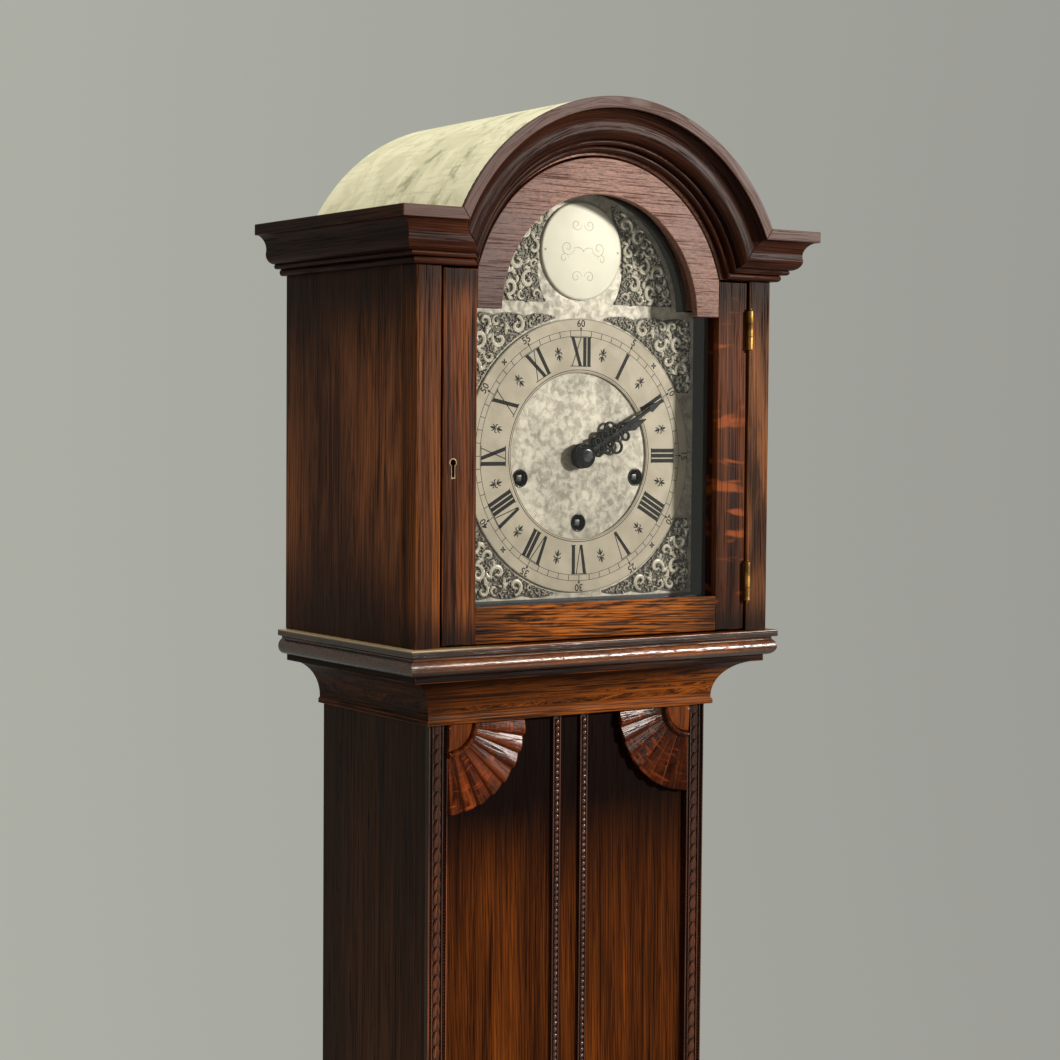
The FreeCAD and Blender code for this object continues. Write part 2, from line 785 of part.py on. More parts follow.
outline = [
    (-mitre_low, z_cornice),
    (mitre_low, z_cornice),
    (mitre_high, z_top),
    (cornice_half, z_top),
    (cornice_half, crown),
    (-cornice_half, crown),
    (-cornice_half, z_top),
    (-mitre_high, z_top),
]
arch_field = pad("arch_field", "XZ_Plane", outline, y_cornice, y_front)
node("cornice_arch", common("cornice_over_arch", arch_turning, arch_field))

run = [(y_front - out, z_cornice + up) for out, up in cornice]
straights = []
for word, sign in (("left", -1), ("right", 1)):
    start, end = (-cornice_half, zero) if sign < 0 else (zero, cornice_half)
    length = pad(f"shoulder_{word}_run", "YZ_Plane", run, start, end, flipped)
    outline = [
        (sign * mitre_low, z_cornice),
        (sign * mitre_high, z_top),
        (sign * cornice_half, z_top),
        (sign * cornice_half, z_cornice),
    ]
    field = pad(f"shoulder_{word}_field", "XZ_Plane", outline, y_cornice, y_front)
    corner = [
        (zero, y_cornice),
        (sign * cornice_half, y_cornice),
        (sign * hood_half, y_front),
        (zero, y_front),
    ]
    plan = pad(f"shoulder_{word}_plan", "XY_Plane", corner, z_cornice, z_top)
    straights.append(common(f"shoulder_{word}", common(f"shoulder_{word}_cut", length, field), plan))
    profile = [(sign * (hood_half + out), z_cornice + up) for out, up in cornice]
    arcs = {index: (radius, sign * side) for index, (radius, side) in cornice_arcs.items()}
    length = pad(f"return_{word}_run", "XZ_Plane", profile, y_cornice, y_back, arcs)
    corner = [
        (sign * cornice_half, y_cornice),
        (sign * hood_half, y_front),
        (sign * hood_half, y_back),
        (sign * cornice_half, y_back),
    ]
    plan = pad(f"return_{word}_plan", "XY_Plane", corner, z_cornice, z_top)
    straights.append(common(f"return_{word}", length, plan))
node("cornice_straights", *straights)

# The door: stiles, bottom rail and arched head, rebated from behind for one sheet of glass
glass_half = sight_half + rebate
glass_arch = sight_radius + rebate
glass_step = z_arch + rebate
glass_x = leg(glass_arch, rebate)
sheet_outline = [
    (-glass_half, sight_low - rebate),
    (glass_half, sight_low - rebate),
    (glass_half, glass_step),
    (glass_x, glass_step),
    (-glass_x, glass_step),
    (-glass_half, glass_step),
]
glass_arcs = {3: (glass_arch, 1)}


def rebated(name, blank):
    """A piece of the door frame with the glass rebate taken out of its back."""
    pocket = pad(name + "_rebate", "XZ_Plane", sheet_outline, y_glass, y_hood + 1, glass_arcs)
    return cut(name, blank, pocket)


door_rise = (door_low, door_high)
door_depth = (y_front, y_hood)
stile_left = rebated("door_left_stile", box("stile_left", (door_left, -sight_half), door_depth, door_rise))
keyhole_x = door_left + keyhole_edge
keyhole_z = z_dial - keyhole_drop
stile_left = cut(
    "door_left_keyed",
    stile_left,
    rod("keyway_round", 2.8, (keyhole_x, y_front - 1, keyhole_z + 3.5), y_hood + 1, "Y"),
    box(
        "keyway_slot",
        (keyhole_x - 1.6, keyhole_x + 1.6),
        (y_front - 1, y_hood + 1),
        (keyhole_z - 6.5, keyhole_z + 3.5),
    ),
)
stile_right = rebated(
    "door_right_stile", box("stile_right", (sight_half, door_right), door_depth, door_rise)
)
node("door_stiles", stile_left, stile_right)
rail_low = rebated(
    "door_low_rail", box("rail_low", (-sight_half, sight_half), door_depth, (door_low, sight_low))
)
outline = [
    (-sight_half, z_arch),
    (-sight_radius, z_arch),
    (sight_radius, z_arch),
    (sight_half, z_arch),
    (sight_half, door_high),
    (-sight_half, door_high),
]
spring = size(0.02)
head = pad("door_head_blank", "XZ_Plane", outline, y_front, y_hood,
           {1: (sight_radius + spring, -1), 4: (door_arch, 1)})
node("door_rails", rail_low, rebated("door_head", head))
node("door_glass", pad("glass_sheet", "XZ_Plane", sheet_outline, y_glass, y_glass_back, glass_arcs))

# A thread escutcheon in the keyhole and a cupboard lock behind the stile
liner = cut(
    "keyhole_liner",
    fuse(
        "liner_outer",
        rod("liner_round", 2.8, (keyhole_x, y_front - 0.3, keyhole_z + 3.5), y_front + 5, "Y"),
        box("liner_slot", (keyhole_x - 1.6, keyhole_x + 1.6), (y_front - 0.3, y_front + 5),
            (keyhole_z - 6.5, keyhole_z + 3.5)),
    ),
    rod("liner_bore", 2.0, (keyhole_x, y_front - 1, keyhole_z + 3.5), y_front + 6, "Y"),
    box(
        "liner_way",
        (keyhole_x - 0.9, keyhole_x + 0.9),
        (y_front - 1, y_front + 6),
        (keyhole_z - 5.7, keyhole_z + 3.5),
    ),
)
lock_left = door_left + 2
lock_right = lock_left + lock_width
bolt_front = y_hood + (lock_depth - bolt_depth) / 2
bolt_low = keyhole_z - bolt_height / 2
case = cut(
    "lock_case",
    box("lock_shell", (lock_left, lock_right), (y_hood, y_hood + lock_depth),
        (keyhole_z - lock_height / 2, keyhole_z + lock_height / 2)),
    box(
        "bolt_way",
        (lock_left - 1, lock_left + bolt_length + 6),
        (bolt_front - 0.3, bolt_front + bolt_depth + 0.3),
        (bolt_low - 0.3, bolt_low + bolt_height + 0.3),
    ),
)
node("door_lock", liner, case)
node("lock_bolt", box("bolt", (lock_left, lock_left + bolt_length), (bolt_front, bolt_front + bolt_depth),
                      (bolt_low, bolt_low + bolt_height)))


def hinge(name, axis_x, axis_y, inward, middle, gap):
    """A butt hinge: a fixed leaf with its pin and end knuckles, and a leaf with the middle one.

    inward is +1 where the leaves run from the axis towards +Y; gap is the room between what
    the two leaves are fixed to, the fixed leaf on the +X side of it.
    """
    low = middle - hinge_length / 2
    third = hinge_length / 3
    play = size(0.2)
    inner = axis_y
    outer = axis_y + inward * leaf_width
    ys = (inner, outer) if inward > 0 else (outer, inner)
    near = gap / 2 - leaf_thickness
    far = gap / 2
    xs = (axis_x + near, axis_x + far)
    other = (axis_x - far, axis_x - near)
    whole = (low, low + hinge_length)
    fixed_leaf = cut(
        name + "_fixed_leaf",
        box(name + "_fixed_blank", xs, ys, whole),
        rod(
            name + "_middle_room",
            knuckle_radius + 0.3,
            (axis_x, axis_y, low + third - play),
            low + 2 * third + play,
            "Z",
        ),
    )
    moving_leaf = cut(
        name + "_moving_leaf",
        box(name + "_moving_blank", other, ys, whole),
        rod(name + "_low_room", knuckle_radius + 0.3, (axis_x, axis_y, low - 1), low + third + play, "Z"),
        rod(
            name + "_high_room",
            knuckle_radius + 0.3,
            (axis_x, axis_y, low + 2 * third - play),
            low + hinge_length + 1,
            "Z",
        ),
    )
    fixed = fuse(
        name + "_fixed",
        fixed_leaf,
        rod(name + "_low_knuckle", knuckle_radius, (axis_x, axis_y, low), low + third, "Z"),
        rod(
            name + "_high_knuckle",
            knuckle_radius,
            (axis_x, axis_y, low + 2 * third),
            low + hinge_length,
            "Z",
        ),
        rod(name + "_pin", hinge_pin_radius, (axis_x, axis_y, low - 1.5), low + hinge_length + 1.5, "Z"),
    )
    moving = cut(
        name + "_moving",
        fuse(name + "_moving_body", moving_leaf,
             rod(name + "_middle_knuckle", knuckle_radius, (axis_x, axis_y, low + third + play),
                 low + 2 * third - play, "Z")),
        rod(
            name + "_bore",
            hinge_pin_radius + running_fit,
            (axis_x, axis_y, low - 2),
            low + hinge_length + 2,
            "Z",
        ),
    )
    return fixed, moving


knuckle_stand = knuckle_radius + 0.3
door_axis_x = level("door_axis_x", door_right + hinge_gap / 2)
door_axis_y = level("door_axis_y", y_front - knuckle_stand)
rear_gap = level("rear_gap", 2 * knuckle_stand)
rear_axis_x = level("rear_axis_x", hood_inner - rear_gap / 2)
rear_axis_y = level("rear_axis_y", y_rear + knuckle_stand)
upper = hinge("door_upper", door_axis_x, door_axis_y, 1, z_dial + hinge_spread, hinge_gap)
lower = hinge("door_lower", door_axis_x, door_axis_y, 1, z_dial - hinge_spread, hinge_gap)
rear_middle = (z_rear + z_cornice) / 2
rear_spread = hinge_spread * 0.75
rear_upper = hinge("rear_upper", rear_axis_x, rear_axis_y, -1, rear_middle + rear_spread, rear_gap)
rear_lower = hinge("rear_lower", rear_axis_x, rear_axis_y, -1, rear_middle - rear_spread, rear_gap)
node("frame_hinge_leaves", upper[0], lower[0], rear_upper[0], rear_lower[0])
node("door_hinge_leaves", upper[1], lower[1])
node("rear_hinge_leaves", rear_upper[1], rear_lower[1])
node("rear_door", box("rear_panel", (door_gap - hood_inner, hood_inner - rear_gap), (y_rear_inner, y_rear),
                      (z_rear, z_cornice - door_gap)))

# The dial: mask board, break-arch plate, chapter ring, boss and cast corner pieces
mask_x = leg(mask_arch, cornice_rise)
outline = [
    (-hood_inner, z_hood),
    (hood_inner, z_hood),
    (hood_inner, z_cornice),
    (mask_x, z_cornice),
    (-mask_x, z_cornice),
    (-hood_inner, z_cornice),
]
y_mask_back = y_dial_back + mask_thickness
node(
    "dial_mask",
    cut(
        "mask",
        pad("mask_board", "XZ_Plane", outline, y_dial_back, y_mask_back, {3: (mask_arch, 1)}),
        rod("mask_opening", mask_hole, (zero, y_dial_back - 1, z_dial), y_mask_back + 1, "Y"),
    ),
)
winding = [
    ("strike", -winding_spread, z_dial - winding_drop),
    ("going", zero, z_dial - going_drop),
    ("chime", winding_spread, z_dial - winding_drop),
]
dial_half = dial_width / 2
dial_step = z_arch + dial_shoulder
dial_x = leg(dial_arch, dial_shoulder)
outline = [
    (-dial_half, z_dial - dial_half),
    (dial_half, z_dial - dial_half),
    (dial_half, dial_step),
    (dial_x, dial_step),
    (-dial_x, dial_step),
    (-dial_half, dial_step),
]
holes = [
    rod(f"dial_hole_{word}", winding_hole, (x, y_dial - 1, z), y_dial_back + 1, "Y")
    for word, x, z in winding
]
holes.append(rod("dial_centre_hole", pipe_radius + 1.2, (zero, y_dial - 1, z_dial), y_dial_back + 1, "Y"))
node(
    "dial_plate",
    cut(
        "dial", pad("dial_blank", "XZ_Plane", outline, y_dial, y_dial_back, {3: (dial_arch, 1)}), *holes
    ),
)
node(
    "chapter_ring",
    cut(
        "ring",
        rod("ring_disc", ring_radius, (zero, y_ring, z_dial), y_dial, "Y"),
        rod("ring_opening", ring_inner, (zero, y_ring - 1, z_dial), y_dial + 1, "Y"),
    ),
)
z_boss = z_arch + boss_rise
outline = [
    (zero, zero),
    (zero, -(ring_thickness + 2)),
    (boss_radius * 0.86, -(ring_thickness + 0.6)),
    (boss_radius, -ring_thickness),
    (boss_radius, zero),
]
outline = [(up, across) for across, up in outline]
node("arch_boss", turned("boss", "YZ_Plane", outline, "Y_Axis", (zero, y_dial, z_boss),
                         {1: (crown_radius(boss_radius * 0.86, 1.4), 1), 2: (boss_radius * 0.3, 1)}))

edge = dial_half - 2.6
spandrel_tail = level("spandrel_tail", ring_radius * 0.22)
spandrel_foot = level("spandrel_foot", ring_radius * 0.47)
near_ring = ring_radius + 1.5
scallop = level("scallop", (edge - spandrel_tail) / 3)
bank = level("bank", (edge - spandrel_foot) / 2)
scallop_bow = crown_radius(scallop / 2, 1.8)
bank_bow = crown_radius(bank / 2, 1.8)
rim = edge - 1.8
spandrels = []
for number, (right, above) in enumerate(((1, 1), (-1, 1), (-1, -1), (1, -1))):
    side = right * above
    outline = [
        (right * spandrel_tail, z_dial + above * rim),
        (right * (spandrel_tail + scallop), z_dial + above * rim),
        (right * (spandrel_tail + scallop * 2), z_dial + above * rim),
        (right * rim, z_dial + above * rim),
        (right * rim, z_dial + above * (spandrel_foot + bank)),
        (right * rim, z_dial + above * spandrel_foot),
        (right * leg(near_ring, spandrel_foot), z_dial + above * spandrel_foot),
        (right * spandrel_tail, z_dial + above * leg(near_ring, spandrel_tail)),
    ]
    arcs = {
        0: (scallop_bow, -side),
        1: (scallop_bow, -side),
        2: (scallop_bow, -side),
        3: (bank_bow, -side),
        4: (bank_bow, -side),
        6: (near_ring, side),
    }
    spandrels.append(
        pad(f"corner_spandrel_{number}", "XZ_Plane", outline, y_dial - spandrel_thickness, y_dial, arcs)
    )
field = level("field", dial_arch - 4)
eye = level("eye", boss_radius + 1.5)
arch_foot = level("arch_foot", dial_arch * 0.0875)
arch_tip = level("arch_tip", dial_arch * 0.9)
arch_shoulder = level("arch_shoulder", boss_rise + eye * 0.627)
for word, sign in (("left", -1), ("right", 1)):
    outline = [
        (sign * eye * 0.82, z_arch + arch_foot),
        (sign * leg(field, arch_foot), z_arch + arch_foot),
        (sign * leg(field, arch_tip), z_arch + arch_tip),
        (sign * leg(eye, arch_shoulder - boss_rise), z_arch + arch_shoulder),
        (sign * eye, z_boss),
    ]
    arcs = {1: (field, sign), 3: (eye, -sign), 4: (eye * 1.4, -sign)}
    spandrels.append(
        pad(f"arch_spandrel_{word}", "XZ_Plane", outline, y_dial - spandrel_thickness, y_dial, arcs)
    )
node("dial_spandrels", *spandrels)

feet_x = winding_spread * 0.92
feet = []
for number, (right, rise) in enumerate(
    ((1, going_drop), (-1, going_drop), (-1, -going_drop - 8), (1, -going_drop - 8))
):
    feet.append(
        rod(
            f"dial_foot_{number}",
            foot_radius,
            (right * feet_x, y_dial_back, z_dial + rise),
            y_plate,
            "Y",
        ),
    )
node("dial_feet", *feet)

# The movement frame on its seat board
seat_half = trunk_half
seat_front = y_plate - 6
seat_back = y_behind + 3
node(
    "seat_board",
    box("seat", (-seat_half, seat_half), (seat_front, seat_back), (z_seat_low, z_seat)),
    box("cheek_left", mirrored((trunk_inner, trunk_half)), (seat_front, seat_back), (z_hood, z_seat_low)),
    box("cheek_right", (trunk_inner, trunk_half), (seat_front, seat_back), (z_hood, z_seat_low)),
)
plate_half = plate_width / 2
plate_low = z_seat
plate_high = z_dial + plate_top
corner = plate_half * 0.28


def plate(name, start, end):
    """A movement plate, cut away at its upper corners."""
    outline = [
        (-plate_half, plate_low),
        (plate_half, plate_low),
        (plate_half, plate_high - corner),
        (plate_half - corner, plate_high),
        (corner - plate_half, plate_high),
        (-plate_half, plate_high - corner),
    ]
    return pad(name, "XZ_Plane", outline, start, end, {2: (corner * 1.2, 1), 4: (corner * 1.2, 1)})


# Where the arbors stand: the pitch radii set the distances between them
barrel_tip = span(winding_spread, going_drop - winding_drop) / 2 - 0.6
great_radius = level("great_radius", barrel_tip / (1 + 1.8 / GREAT_TEETH))
second_pinion = great_radius * (PINION_TEETH / GREAT_TEETH)
second_wheel = level("second_wheel", motion_distance * 0.8)
centre_pinion = second_wheel * 0.25
third_pinion = centre_wheel / 8
escape_pinion = third_wheel / 7.5
down = going_drop
reach_one = great_radius + second_pinion
reach_two = second_wheel + centre_pinion
second_fall = level(
    "second_fall", (reach_two * reach_two + down * down - reach_one * reach_one) / (2 * down)
)
second_x = level("second_x", leg(reach_two, second_fall))
z_second = z_dial - second_fall
third_rise = level(
    "third_rise",
    (
        third_reach * third_reach + escape_rise * escape_rise - fourth_reach * fourth_reach
    ) / (2 * escape_rise),
)
third_x = -leg(third_reach, third_rise)
z_third = z_dial + third_rise
minute_x = -motion_distance * 0.70710678
z_minute = z_dial + motion_distance * 0.70710678
anchor_pivot = size(1.2)

stud = rod("minute_stud", 1.6, (minute_x, y_plate - 12, z_minute), y_plate + 1, "Y")
bores = [
    rod(f"front_bore_{word}", arbor_radius + running_fit, (x, y_plate - 1, z), y_inside + 1, "Y")
    for word, x, z in winding
]
bores.append(rod("front_bore_centre", centre_radius, (zero, y_plate - 1, z_dial), y_inside + 1, "Y"))
bores.append(
    rod(
        "front_bore_anchor",
        anchor_pivot + running_fit,
        (zero, y_plate - 1, z_anchor),
        y_inside + 1,
        "Y",
    ),
)
node(
    "front_plate",
    fuse("front_with_stud", cut("front_bored", plate("front_blank", y_plate, y_inside), *bores), stud),
)
bores = [
    rod(f"back_bore_{word}", pivot_radius + running_fit, (x, y_plate_two - 1, z), y_behind + 1, "Y")
    for word, x, z in winding
]
bores.append(rod("back_bore_anchor", 5, (zero, y_plate_two - 1, z_anchor), y_behind + 1, "Y"))
node("back_plate", cut("back_bored", plate("back_blank", y_plate_two, y_behind), *bores))
pillar_x = plate_half - pillar_edge
pillars = []
for number, (right, rise) in enumerate(((1, plate_top - corner - 4), (-1, plate_top - corner - 4),
                                        (-1, pillar_edge - plate_bottom), (1, pillar_edge - plate_bottom))):
    x = right * pillar_x
    z = z_dial + rise
    pillars.append(
        fuse(
            f"pillar_{number}",
            rod(f"pillar_shaft_{number}", pillar_radius, (x, y_inside, z), y_plate_two, "Y"),
            rod(f"pillar_front_{number}", pillar_radius * 1.5, (x, y_inside, z), y_inside + 4, "Y"),
            rod(f"pillar_back_{number}", pillar_radius * 1.5, (x, y_plate_two - 4, z), y_plate_two, "Y"),
        )
    )
node("movement_pillars", *pillars)


def toothed(name, teeth, radius, start, thickness, spot, phase, bore=0.0, shape="wheel"):
    """A toothed disc facing -Y; phase is the angle of one tooth from +X towards +Z."""
    module = 2 * radius / teeth
    forms = {
        "wheel": ((-0.29, -1.2), (-0.11, 0.85), (0.11, 0.85), (0.29, -1.2)),
        "ratchet": ((-0.5, -1.1), (0.42, 0.0), (0.46, -1.1)),
        "escape": ((-0.3, -3.6), (-0.06, 0.0), (0.06, 0.0), (0.22, -3.6)),
    }
    corners = []
    for tooth in range(teeth):
        for part, height in forms[shape]:
            angle = phase + (tooth + part) * 2 * math.pi / teeth
            reach = radius + height * module
            corners.append(Vector(reach * math.cos(angle), 0, reach * math.sin(angle)))
    corners.append(corners[0])
    disc = Part.Face(Part.makePolygon(corners)).extrude(Vector(0, thickness, 0))
    if bore:
        disc = disc.cut(Part.makeCylinder(bore, thickness + 2, Vector(0, -1, 0), Vector(0, 1, 0)))
    obj = doc.addObject("Part::Feature", name)
    obj.Shape = disc
    x, z = spot
    return put(obj, x, start, z)


def bearing(spot, other):
    """The direction from one arbor to another, from +X towards +Z."""
    return math.atan2((other[1] - spot[1]).number, (other[0] - spot[0]).number)


def meshed(spot, other, teeth):
    """The phase that puts a gap of this wheel where the other one has a tooth."""
    return bearing(spot, other) + math.pi / teeth


centre_spot = (zero, z_dial)
going_spot = (zero, z_dial - going_drop)
second_spot = (second_x, z_second)
third_spot = (third_x, z_third)
escape_spot = (zero, z_escape)
minute_spot = (minute_x, z_minute)
thick = wheel_thickness.number

# Spring barrels with their great wheels, each on its winding arbor
barrel_start = y_inside + 4
barrel_end = barrel_start + barrel_length
great_start = barrel_end - wheel_thickness
barrels = []
for word, x, z in winding:
    phase = bearing(going_spot, second_spot)
    great = toothed(f"great_{word}", GREAT_TEETH, great_radius.number, great_start, thick, (x, z), phase)
    drum = rod(f"drum_{word}", great_radius - 3, (x, barrel_start, z), barrel_end, "Y")
    bore = rod(
        f"barrel_bore_{word}", arbor_radius + running_fit, (x, barrel_start - 1, z), barrel_end + 1, "Y"
    )
    barrels.append(cut(f"barrel_{word}", fuse(f"barrel_{word}_body", great, drum), bore))
node("spring_barrels", *barrels)

square = pivot_radius
ratchet_start = y_plate - 5
clicks = []
for word, x, z in winding:
    shaft = rod(f"shaft_{word}", arbor_radius, (x, y_plate - 8, z), y_plate_two, "Y")
    pivot = rod(f"pivot_{word}", pivot_radius, (x, y_plate_two - 1, z), y_behind, "Y")
    end = box(
        f"square_{word}", (x - square, x + square), (y_dial + 1, y_plate - 7), (z - square, z + square)
    )
    wheel = toothed(
        f"ratchet_{word}",
        RATCHET_TEETH,
        ratchet_radius.number,
        ratchet_start,
        3.0,
        (x, z),
        0.0,
        shape="ratchet",
    )
    node(f"winding_arbor_{word}", fuse(f"winding_{word}", shaft, pivot, end, wheel))
    tip = z + ratchet_radius + 0.4
    blade = [(x, tip), (x + 12, tip + 4), (x + 12, tip + 8), (x + 4, tip + 6)]
    if word == "going":
        blade = [
            (x + ratchet_radius + 0.4, z),
            (x + ratchet_radius + 4.4, z - 12),
            (x + ratchet_radius + 8.4, z - 12),
            (x + ratchet_radius + 6.4, z - 4),
        ]
    spot = (x + 10, tip + 6) if word != "going" else (x + ratchet_radius + 6.4, z - 10)
    clicks.append(
        fuse(
            f"click_{word}",
            pad(f"click_blade_{word}", "XZ_Plane", blade, ratchet_start, ratchet_start + 3),
            rod(f"click_post_{word}", 1.6, (spot[0], ratchet_start - 1, spot[1]), y_plate, "Y"),
        )
    )
node("ratchet_clicks", *clicks)

# The going train between the plates
second_plane = great_start - 1
wheel_plane = barrel_end + 4
centre_plane = wheel_plane + 5
third_plane = centre_plane + 5
escape_plane = third_plane + 4.5
train = []
train.append(
    fuse(
        "second_arbor",
        rod("second_shaft", 1.5, (second_x, y_inside, z_second), y_plate_two, "Y"),
        toothed("second_leaves", PINION_TEETH, second_pinion.number, second_plane, 4.0, second_spot,
                meshed(second_spot, going_spot, PINION_TEETH)),
        toothed(
            "second_disc",
            40,
            second_wheel.number,
            wheel_plane,
            thick,
            second_spot,
            bearing(second_spot, centre_spot),
        ),
    )
)
train.append(
    fuse(
        "centre_arbor",
        rod("centre_shaft", centre_radius, (zero, y_nut - 2, z_dial), y_plate_two, "Y"),
        toothed("centre_leaves", 10, centre_pinion.number, wheel_plane - 1, 4.0, centre_spot,
                meshed(centre_spot, second_spot, 10)),
        toothed(
            "centre_disc",
            64,
            centre_wheel.number,
            centre_plane,
            thick,
            centre_spot,
            bearing(centre_spot, third_spot),
        ),
    )
)
train.append(
    fuse(
        "third_arbor",
        rod("third_shaft", 1.3, (third_x, y_inside, z_third), y_plate_two, "Y"),
        toothed("third_leaves", 8, third_pinion.number, centre_plane - 1, 4.0, third_spot,
                meshed(third_spot, centre_spot, 8)),
        toothed(
            "third_disc",
            60,
            third_wheel.number,
            third_plane,
            thick,
            third_spot,
            bearing(third_spot, escape_spot),
        ),
    )
)
pallet_angle = math.radians(45.0)
quarter = math.radians(360.0 / ESCAPE_TEETH / 4)
train.append(
    fuse(
        "escape_arbor",
        rod("escape_shaft", 1.2, (zero, y_inside, z_escape), y_plate_two, "Y"),
        toothed("escape_leaves", 8, escape_pinion.number, third_plane - 1, 4.0, escape_spot,
                meshed(escape_spot, third_spot, 8)),
        toothed("escape_disc", ESCAPE_TEETH, escape_radius.number, escape_plane, 1.5, escape_spot,
                math.pi / 2 - pallet_angle + quarter, shape="escape"),
    )
)
node("going_train", *train)

# Motion work under the dial, and the hands
cannon_start = y_plate - 4.5
cannon = fuse(
    "cannon_body",
    toothed("cannon_leaves", CANNON_TEETH, motion_distance.number / 4, cannon_start, 3.5, centre_spot,
            bearing(centre_spot, minute_spot)),
    rod("cannon_pipe", cannon_radius, (zero, y_nut, z_dial), y_plate - 1, "Y"),
)
node("cannon_pinion", cut("cannon", cannon, rod("cannon_bore", centre_radius + running_fit,
                                                (zero, y_nut - 1, z_dial), y_plate, "Y")))
wheel_start = y_plate - 4
minute_body = fuse(
    "minute_wheel_body",
    toothed(
        "minute_disc",
        MINUTE_WHEEL_TEETH,
        motion_distance.number * 0.75,
        wheel_start,
        thick,
        minute_spot,
        meshed(minute_spot, centre_spot, MINUTE_WHEEL_TEETH),
    ),
    toothed(
        "minute_leaves",
        MINUTE_PINION_TEETH,
        motion_distance.number / 5,
        wheel_start - 7,
        7.5,
        minute_spot,
        bearing(minute_spot, centre_spot),
    ),
)
minute_bore = rod("minute_bore", 1.6 + running_fit, (minute_x, y_plate - 13, z_minute), y_plate, "Y")
node("minute_wheel", cut("minute_bored", minute_body, minute_bore))
hour_start = wheel_start - 5.5
hour_body = fuse(
    "hour_wheel_body",
    toothed("hour_disc", HOUR_WHEEL_TEETH, motion_distance.number * 0.8, hour_start, thick, centre_spot,
            meshed(centre_spot, minute_spot, HOUR_WHEEL_TEETH)),
    rod("hour_pipe", pipe_radius, (zero, y_hour - hand_thickness, z_dial), hour_start + 1, "Y"),
)
node("hour_wheel", cut("hour_bored", hour_body, rod("hour_bore", cannon_radius + running_fit,
                                                    (zero, y_nut - 1, z_dial), y_plate, "Y")))


def hand(name, front, bore, hub, unit, loops, stem, angle):
    """A pierced hand made upright and turned to its hour: hub, pairs of rings, stem and blade.

    Rings are given as (across, rise, radius, opening), and the stem as (half width, rise).
    """
    parts = [rod(name + "_hub", hub, (zero, zero, zero), hand_thickness, "Y")]
    holes = []
    for number, (across, rise, radius, opening) in enumerate(loops):
        for word, sign in (("left", -1), ("right", 1)):
            x = unit * (sign * across)
            z = unit * rise
            mark = f"{name}_{word}_{number}"
            parts.append(rod(mark + "_ring", unit * radius, (x, zero, z), hand_thickness, "Y"))
            holes.append(rod(mark + "_pierce", unit * opening, (x, -1, z), hand_thickness + 1, "Y"))
    pierced = cut(name + "_pierced", fuse(name + "_rings", *parts), *holes)
    outline = [(unit * half, unit * rise) for half, rise in stem]
    outline += [(unit * -half, unit * rise) for half, rise in reversed(stem)]
    solid = fuse(name + "_solid", pierced, pad(name + "_stem", "XZ_Plane", outline, zero, hand_thickness))
    obj = cut(name, solid, rod(name + "_eye", bore, (zero, -1, zero), hand_thickness + 1, "Y"))
    return put(obj, zero, front, z_dial, Vector(0, 1, 0), angle)


minute_loops = [
    (2.9, 14.2, 2.9, 1.6),
    (3.7, 21.2, 3.4, 2.0),
    (2.6, 28.8, 2.7, 1.5),
    (1.9, 34.6, 2.0, 1.0),
]
minute_stem = [
    (1.8, 5),
    (1.1, 14.2),
    (1.4, 21.2),
    (1.0, 28.8),
    (0.8, 36),
    (1.9, 41),
    (0.8, 62),
    (2.7, 63),
    (0.2, 75),
]
node(
    "minute_hand",
    hand(
        "minute",
        y_minute - hand_thickness,
        cannon_radius,
        hand_nut_radius,
        minute_reach / 75,
        minute_loops,
        minute_stem,
        HANDS_MINUTE,
    ),
)
hour_loops = [
    (3.6, 13.4, 3.4, 1.9),
    (4.6, 20.5, 3.7, 2.1),
    (6.6, 28.4, 4.9, 3.3),
    (3.2, 38, 3.4, 1.9),
]
hour_stem = [
    (2.2, 5),
    (1.3, 13.4),
    (1.8, 20.5),
    (2.5, 28.4),
    (1.0, 38),
    (1.1, 41.5),
    (3.0, 46.5),
    (0.3, 58),
]
node("hour_hand", hand("hour", y_hour - hand_thickness, pipe_radius, pipe_radius + 3.2, hour_reach / 58,
                       hour_loops, hour_stem, HANDS_HOUR))
outline = [
    (zero, zero),
    (zero, hand_nut_radius),
    (-hand_nut_depth * 0.3, hand_nut_radius),
    (-hand_nut_depth, hand_nut_radius * 0.45),
    (-hand_nut_depth, zero),
]
cap = turned(
    "nut_dome", "YZ_Plane", outline, "Y_Axis", (zero, y_nut, z_dial), {2: (hand_nut_radius * 0.75, 1)}
)
node("hand_nut", cut("nut_bored", cap, rod("nut_bore", centre_radius + running_fit,
                                           (zero, y_nut - 2 - running_fit, z_dial), y_nut + 1, "Y")))

# Escapement: pallets over the escape wheel, crutch behind the back plate, bridged by the cock
pallet_reach = escape_radius + pallet_drop
half_span = pallet_reach * math.sin(pallet_angle)
pallet_fall = anchor_rise - pallet_reach * math.cos(pallet_angle)
outline = [
    (-half_span - 0.2, z_anchor - pallet_fall),
    (-half_span + 0.1, z_anchor - pallet_fall - 0.1),
    (-half_span + 1.6, z_anchor - pallet_fall + 4),
    (-2.5, z_anchor - 4.5),
    (2.5, z_anchor - 4.5),
    (half_span - 1.6, z_anchor - pallet_fall + 4),
    (half_span - 0.1, z_anchor - pallet_fall - 0.1),
    (half_span + 0.2, z_anchor - pallet_fall),
    (half_span + 1, z_anchor - pallet_fall + 5),
    (3, z_anchor + 3),
    (-3, z_anchor + 3),
    (-half_span - 1, z_anchor - pallet_fall + 5),
]
pallets = pad("pallets", "XZ_Plane", outline, escape_plane - 0.2, escape_plane + 1.7)
cock_plane = y_behind + rear_fit * 8
crutch_start = y_behind + rear_fit * 3
crutch_end = crutch_start + rear_fit * 2
fork_z = z_anchor - crutch_length
fork_in = rod_radius + 0.4
fork_out = fork_in + 2.5
